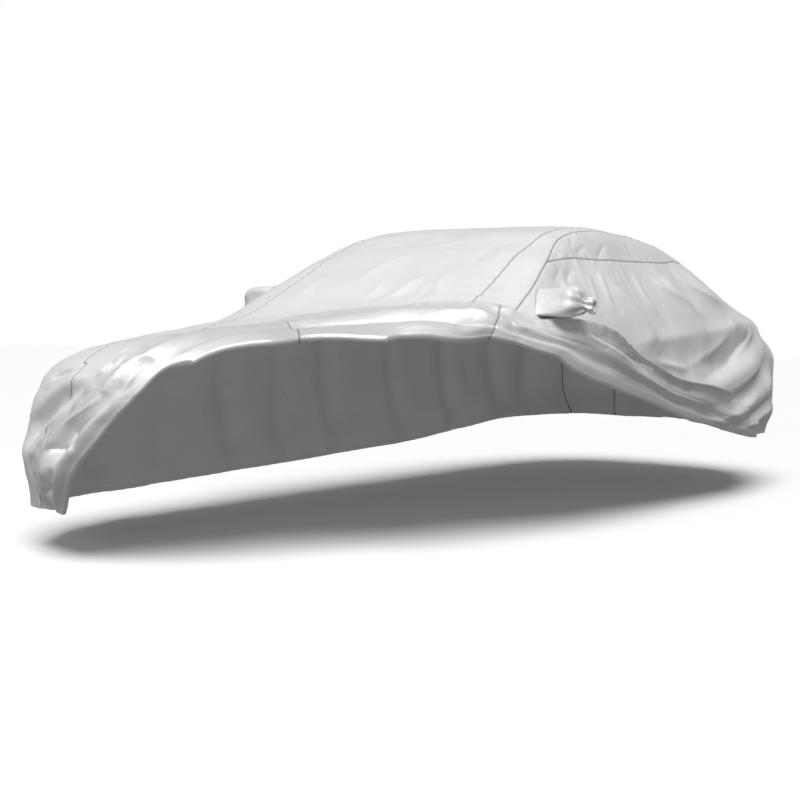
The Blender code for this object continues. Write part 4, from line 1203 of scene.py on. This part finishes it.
def silver_cloth(name, light, dark, metallic, roughness, crumple_depth):
    """Coated silver cloth: its weave, the crumple it was packed with, dust, stitching, and painted
    shade along the seams.
    """
    recipe = Recipe(name)
    at = recipe.node("ShaderNodeTexCoord", {}, {}, "Object")
    across = recipe.mark("weave_across")
    along = recipe.mark("weave_along")
    seam_away = recipe.mark("seam_away")
    seam_run = recipe.mark("seam_run")
    hem_away = recipe.mark("hem_away")
    warp = (across * (2 * np.pi / THREAD)).sine()
    weft = (along * (2 * np.pi / THREAD)).sine()
    weave = warp * weft
    cloudy = recipe.noise(at, *CLOUDS)
    blotch = recipe.noise(at, *BLOTCHES)
    crinkle = recipe.noise(at, *CRINKLES)
    grit = recipe.noise(at, *GRIT)
    thread_line = 1 - (seam_away - STITCH_AWAY).size().band(*STITCH_EDGE)
    hem_line = 1 - (hem_away - HEM_STITCH).size().band(*STITCH_EDGE)
    dashes = (seam_run * (2 * np.pi / STITCH_LENGTH)).sine().band(*STITCH_GAP)
    hem_dashes = ((across + along) * (2 * np.pi / STITCH_LENGTH)).sine().band(*STITCH_GAP)
    stitches = thread_line * dashes + hem_line * hem_dashes
    # The band along each seam: in the colour it carries painted shade, and it also gives a rougher,
    # less metallic finish.
    join = 1 - seam_away.band(*JOIN_EDGE)
    tone = ((cloudy - 0.5) * CLOUD_TONE + (blotch - 0.5) * BLOTCH_TONE
            + (grit - 0.5) * GRIT_TONE + 0.5 + weave * WEAVE_TONE)
    rough = (roughness + (blotch - 0.5) * BLOTCH_ROUGH + (grit - 0.5) * GRIT_ROUGH
             + join * JOIN_ROUGH)
    colour = recipe.mix(tone, dark, light)
    # Painted shade: near each seam the colour turns to a dark line, standing in for the shadow in
    # the seam's groove.
    colour = recipe.mix(join * JOIN_PAINTED_SHADE, colour, SEAM_PAINTED_SHADE)
    colour = recipe.mix(stitches * STITCH_TONE, colour, THREAD_SHADE)
    soft = recipe.bump(crinkle, crumple_depth)
    relief = weave * WEAVE_RELIEF + grit * GRIT_RELIEF + stitches * STITCH_RELIEF
    metal = metallic - join * JOIN_DULL - stitches * STITCH_DULL
    recipe.set("Base Color", colour)
    recipe.set("Roughness", rough)
    recipe.set("Metallic", metal)
    recipe.set("Specular IOR Level", SPECULAR)
    recipe.set("Sheen Weight", SHEEN)
    recipe.set("Normal", recipe.bump(relief, RELIEF_DEPTH, soft))
    return recipe.material


OUTER = silver_cloth("silver_face", light=(.86, .865, .87, 1), dark=(.70, .705, .715, 1),
                     metallic=0.16, roughness=0.46, crumple_depth=0.0016)
INNER = silver_cloth("silver_back", light=(.95, .955, .96, 1), dark=(.82, .825, .835, 1),
                     metallic=0.46, roughness=0.38, crumple_depth=0.0020)


# The pieces.

def edge_between(low, high):
    """1 on the rows where an edge is sewn, and 0 where it is a free hem."""
    return lambda rows: ((rows >= low - SAME) & (rows <= high + SAME)) * 1.0


def unsewn(rows):
    return rows * 0.0


def other_side(edge):
    place, sewn = edge
    return (lambda rows: -place(rows), sewn)


def centre_panel():
    join = TURNED_ENDS[1]
    first = CROWN_SEAM[0][0]
    last = CROWN_SEAM[-1][0]

    def left_place(rows):
        return np.where(rows < join, turned(rows), seam(CROWN_SEAM, rows))

    right = other_side((lambda rows: seam(CROWN_SEAM, rows), edge_between(first, last)))
    left = (left_place, edge_between(join, last))
    cloth = Cloth()
    numbers, rows = panel(cloth, TURNED_ENDS[0], TAIL, right, left, COLUMNS_CENTRE)
    fold = rows <= join + SAME
    skirt(cloth, numbers[fold, -1], rows[fold], sewn_ends=(0, 1))
    declare(solid("centre_cloth", cloth), "centre_panel")


def pillar_strips():
    _, low, join, _ = TURNED_ENDS
    first = CROWN_SEAM[0][0]
    last = CROWN_SEAM[-1][0]
    inner = (lambda rows: seam(CROWN_SEAM, rows), edge_between(first, last))
    outer = (lambda rows: seam(SHOULDER_SEAM, rows),
             edge_between(SHOULDER_SEAM[0][0], SHOULDER_SEAM[-1][0]))
    right = Cloth()
    panel(right, first, last, other_side(outer), other_side(inner), COLUMNS_PILLAR)
    declare(solid("right_pillar_cloth", right), "right_pillar_strip")

    def left_place(rows):
        return np.where(rows < join, turned(rows), seam(SHOULDER_SEAM, rows))

    left = Cloth()
    left_outer = (left_place, edge_between(join, SHOULDER_SEAM[-1][0]))
    numbers, rows = panel(left, low, last, inner, left_outer, COLUMNS_PILLAR)
    fold = rows <= join + SAME
    skirt(left, numbers[fold, -1], rows[fold], sewn_ends=(1, 1))
    declare(solid("left_pillar_cloth", left), "left_pillar_strip")


def window_strips():
    low = WINDOW_ENDS[0] + WINDOW_TIP
    high = WINDOW_ENDS[1] - WINDOW_TIP
    inner = (shoulder, edge_between(low, high))
    outer = (window, edge_between(low, high))
    left = Cloth()
    panel(left, low, high, inner, outer, COLUMNS_WINDOW)
    declare(solid("left_window_cloth", left), "left_window_strip")
    right = Cloth()
    panel(right, low, high, other_side(outer), other_side(inner), COLUMNS_WINDOW)
    declare(solid("right_window_cloth", right), "right_window_strip")


def side_line(rows):
    """The seam that the side panel hangs from: the shoulder's, then the window's under it."""
    low, high = WINDOW_ENDS
    under = (rows > low + WINDOW_TIP / 2) & (rows < high - WINDOW_TIP / 2)
    return np.where(under, window(rows), shoulder(rows))


def side_panels():
    _, _, low, end = TURNED_ENDS
    first = SHOULDER_SEAM[0][0]
    last = SHOULDER_SEAM[-1][0]
    inner = (lambda rows: np.minimum(side_line(rows), hem(rows)), edge_between(first, last))
    right = Cloth()
    panel(right, first, last, other_side((hem, unsewn)), other_side(inner), COLUMNS_RIGHT,
          pocket_side=-1)
    pocket = mirror_pocket("right_pocket_cloth", right, -1)
    declare(solid("right_side_cloth", right), "right_side_panel")
    declare(pocket, "right_mirror_pocket")
    left = Cloth()
    numbers, rows = panel(left, low, last, inner, (turned, unsewn), COLUMNS_LEFT, pocket_side=1)
    pocket = mirror_pocket("left_pocket_cloth", left, 1)
    fold = rows <= end + SAME
    skirt(left, numbers[fold, -1], rows[fold], sewn_ends=(1, 0))
    declare(solid("left_side_cloth", left), "left_side_panel")
    declare(pocket, "left_mirror_pocket")


def declare(piece, node):
    """Hangs a piece on the root that it rides on, and hides the part of the model that it stands
    for.
    """
    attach(piece, "root")
    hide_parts(node)


# The studio.

def floor():
    recipe = Recipe("pale_floor")
    at = recipe.node("ShaderNodeTexCoord", {}, {}, "Object")
    clouds, grit = FLOOR_MIX
    tone = recipe.noise(at, *FLOOR_CLOUDS) * clouds + recipe.noise(at, *FLOOR_GRIT) * grit
    recipe.set("Base Color", recipe.mix(tone, FLOOR_DARK, FLOOR_LIGHT))
    recipe.set("Roughness", FLOOR_ROUGH)
    mesh = bpy.data.meshes.new("studio_floor")
    low = -UNDER_TOP[2]
    ends = ((-1, -1), (1, -1), (1, 1), (-1, 1))
    corners = [(x * FLOOR_REACH, y * FLOOR_REACH, low) for x, y in ends]
    mesh.from_pydata(corners, [], [(0, 1, 2, 3)])
    mesh.materials.append(recipe.material)
    plane = bpy.data.objects.new("studio_floor", mesh)
    plane.visible_diffuse = False
    plane.visible_glossy = False
    bpy.context.scene.collection.objects.link(plane)


def backdrop():
    """The white of the studio behind the cover, which lights nothing."""
    recipe = Recipe("backdrop_white")
    recipe.set("Base Color", (0, 0, 0, 1))
    recipe.set("Specular IOR Level", 0)
    recipe.set("Emission Color", (1, 1, 1, 1))
    recipe.set("Emission Strength", 1.0)
    shape = bmesh.new()
    bmesh.ops.create_uvsphere(shape, u_segments=48, v_segments=24, radius=BACKDROP_REACH)
    mesh = bpy.data.meshes.new("studio_backdrop")
    shape.to_mesh(mesh)
    shape.free()
    mesh.materials.append(recipe.material)
    dome = bpy.data.objects.new("studio_backdrop", mesh)
    dome.visible_diffuse = False
    dome.visible_glossy = False
    dome.visible_transmission = False
    dome.visible_shadow = False
    bpy.context.scene.collection.objects.link(dome)


def lamp(name, kind, power, way, place=(0, 0, 3)):
    """A light that shines from the given way, and for a sun its place makes no difference."""
    light = bpy.data.lights.new(name, kind)
    light.energy = power
    thing = bpy.data.objects.new(name, light)
    thing.location = place
    thing.rotation_euler = Vector(way).to_track_quat("Z", "Y").to_euler()
    bpy.context.scene.collection.objects.link(thing)
    return light


def studio():
    scene = bpy.context.scene
    scene.view_settings.view_transform = "Standard"
    world = bpy.data.worlds.new("studio")
    world.use_nodes = True
    around = world.node_tree.nodes["Background"]
    around.inputs["Color"].default_value = (1, 1, 1, 1)
    around.inputs["Strength"].default_value = SURROUND
    scene.world = world
    lamp("key", "SUN", KEY_POWER, KEY_WAY).angle = np.radians(KEY_ANGLE)
    front = lamp("front", "AREA", FRONT_POWER, FRONT_WAY, FRONT_AT)
    front.shape = "RECTANGLE"
    front.size, front.size_y = FRONT_SIZE


def camera():
    lens = bpy.data.cameras.new("photo_view")
    lens.lens = LENS
    lens.sensor_width = SENSOR
    lens.clip_start = 0.1
    lens.clip_end = 200
    turn, tilt, roll = np.radians(CAMERA_AIM)
    forward = Vector((-np.sin(turn) * np.cos(tilt), np.cos(turn) * np.cos(tilt), np.sin(tilt)))
    right = Vector((np.cos(turn), np.sin(turn), 0))
    up = right.cross(forward)
    level = right * np.cos(roll) + up * np.sin(roll)
    upright = up * np.cos(roll) - right * np.sin(roll)
    thing = bpy.data.objects.new("photo_view", lens)
    x, y, z = CAMERA_AT
    thing.matrix_world = Matrix((
        (level.x, upright.x, -forward.x, x),
        (level.y, upright.y, -forward.y, y),
        (level.z, upright.z, -forward.z, z),
        (0, 0, 0, 1),
    ))
    bpy.context.scene.collection.objects.link(thing)
    bpy.context.scene.camera = thing


camera()
studio()
floor()
backdrop()
centre_panel()
pillar_strips()
window_strips()
side_panels()
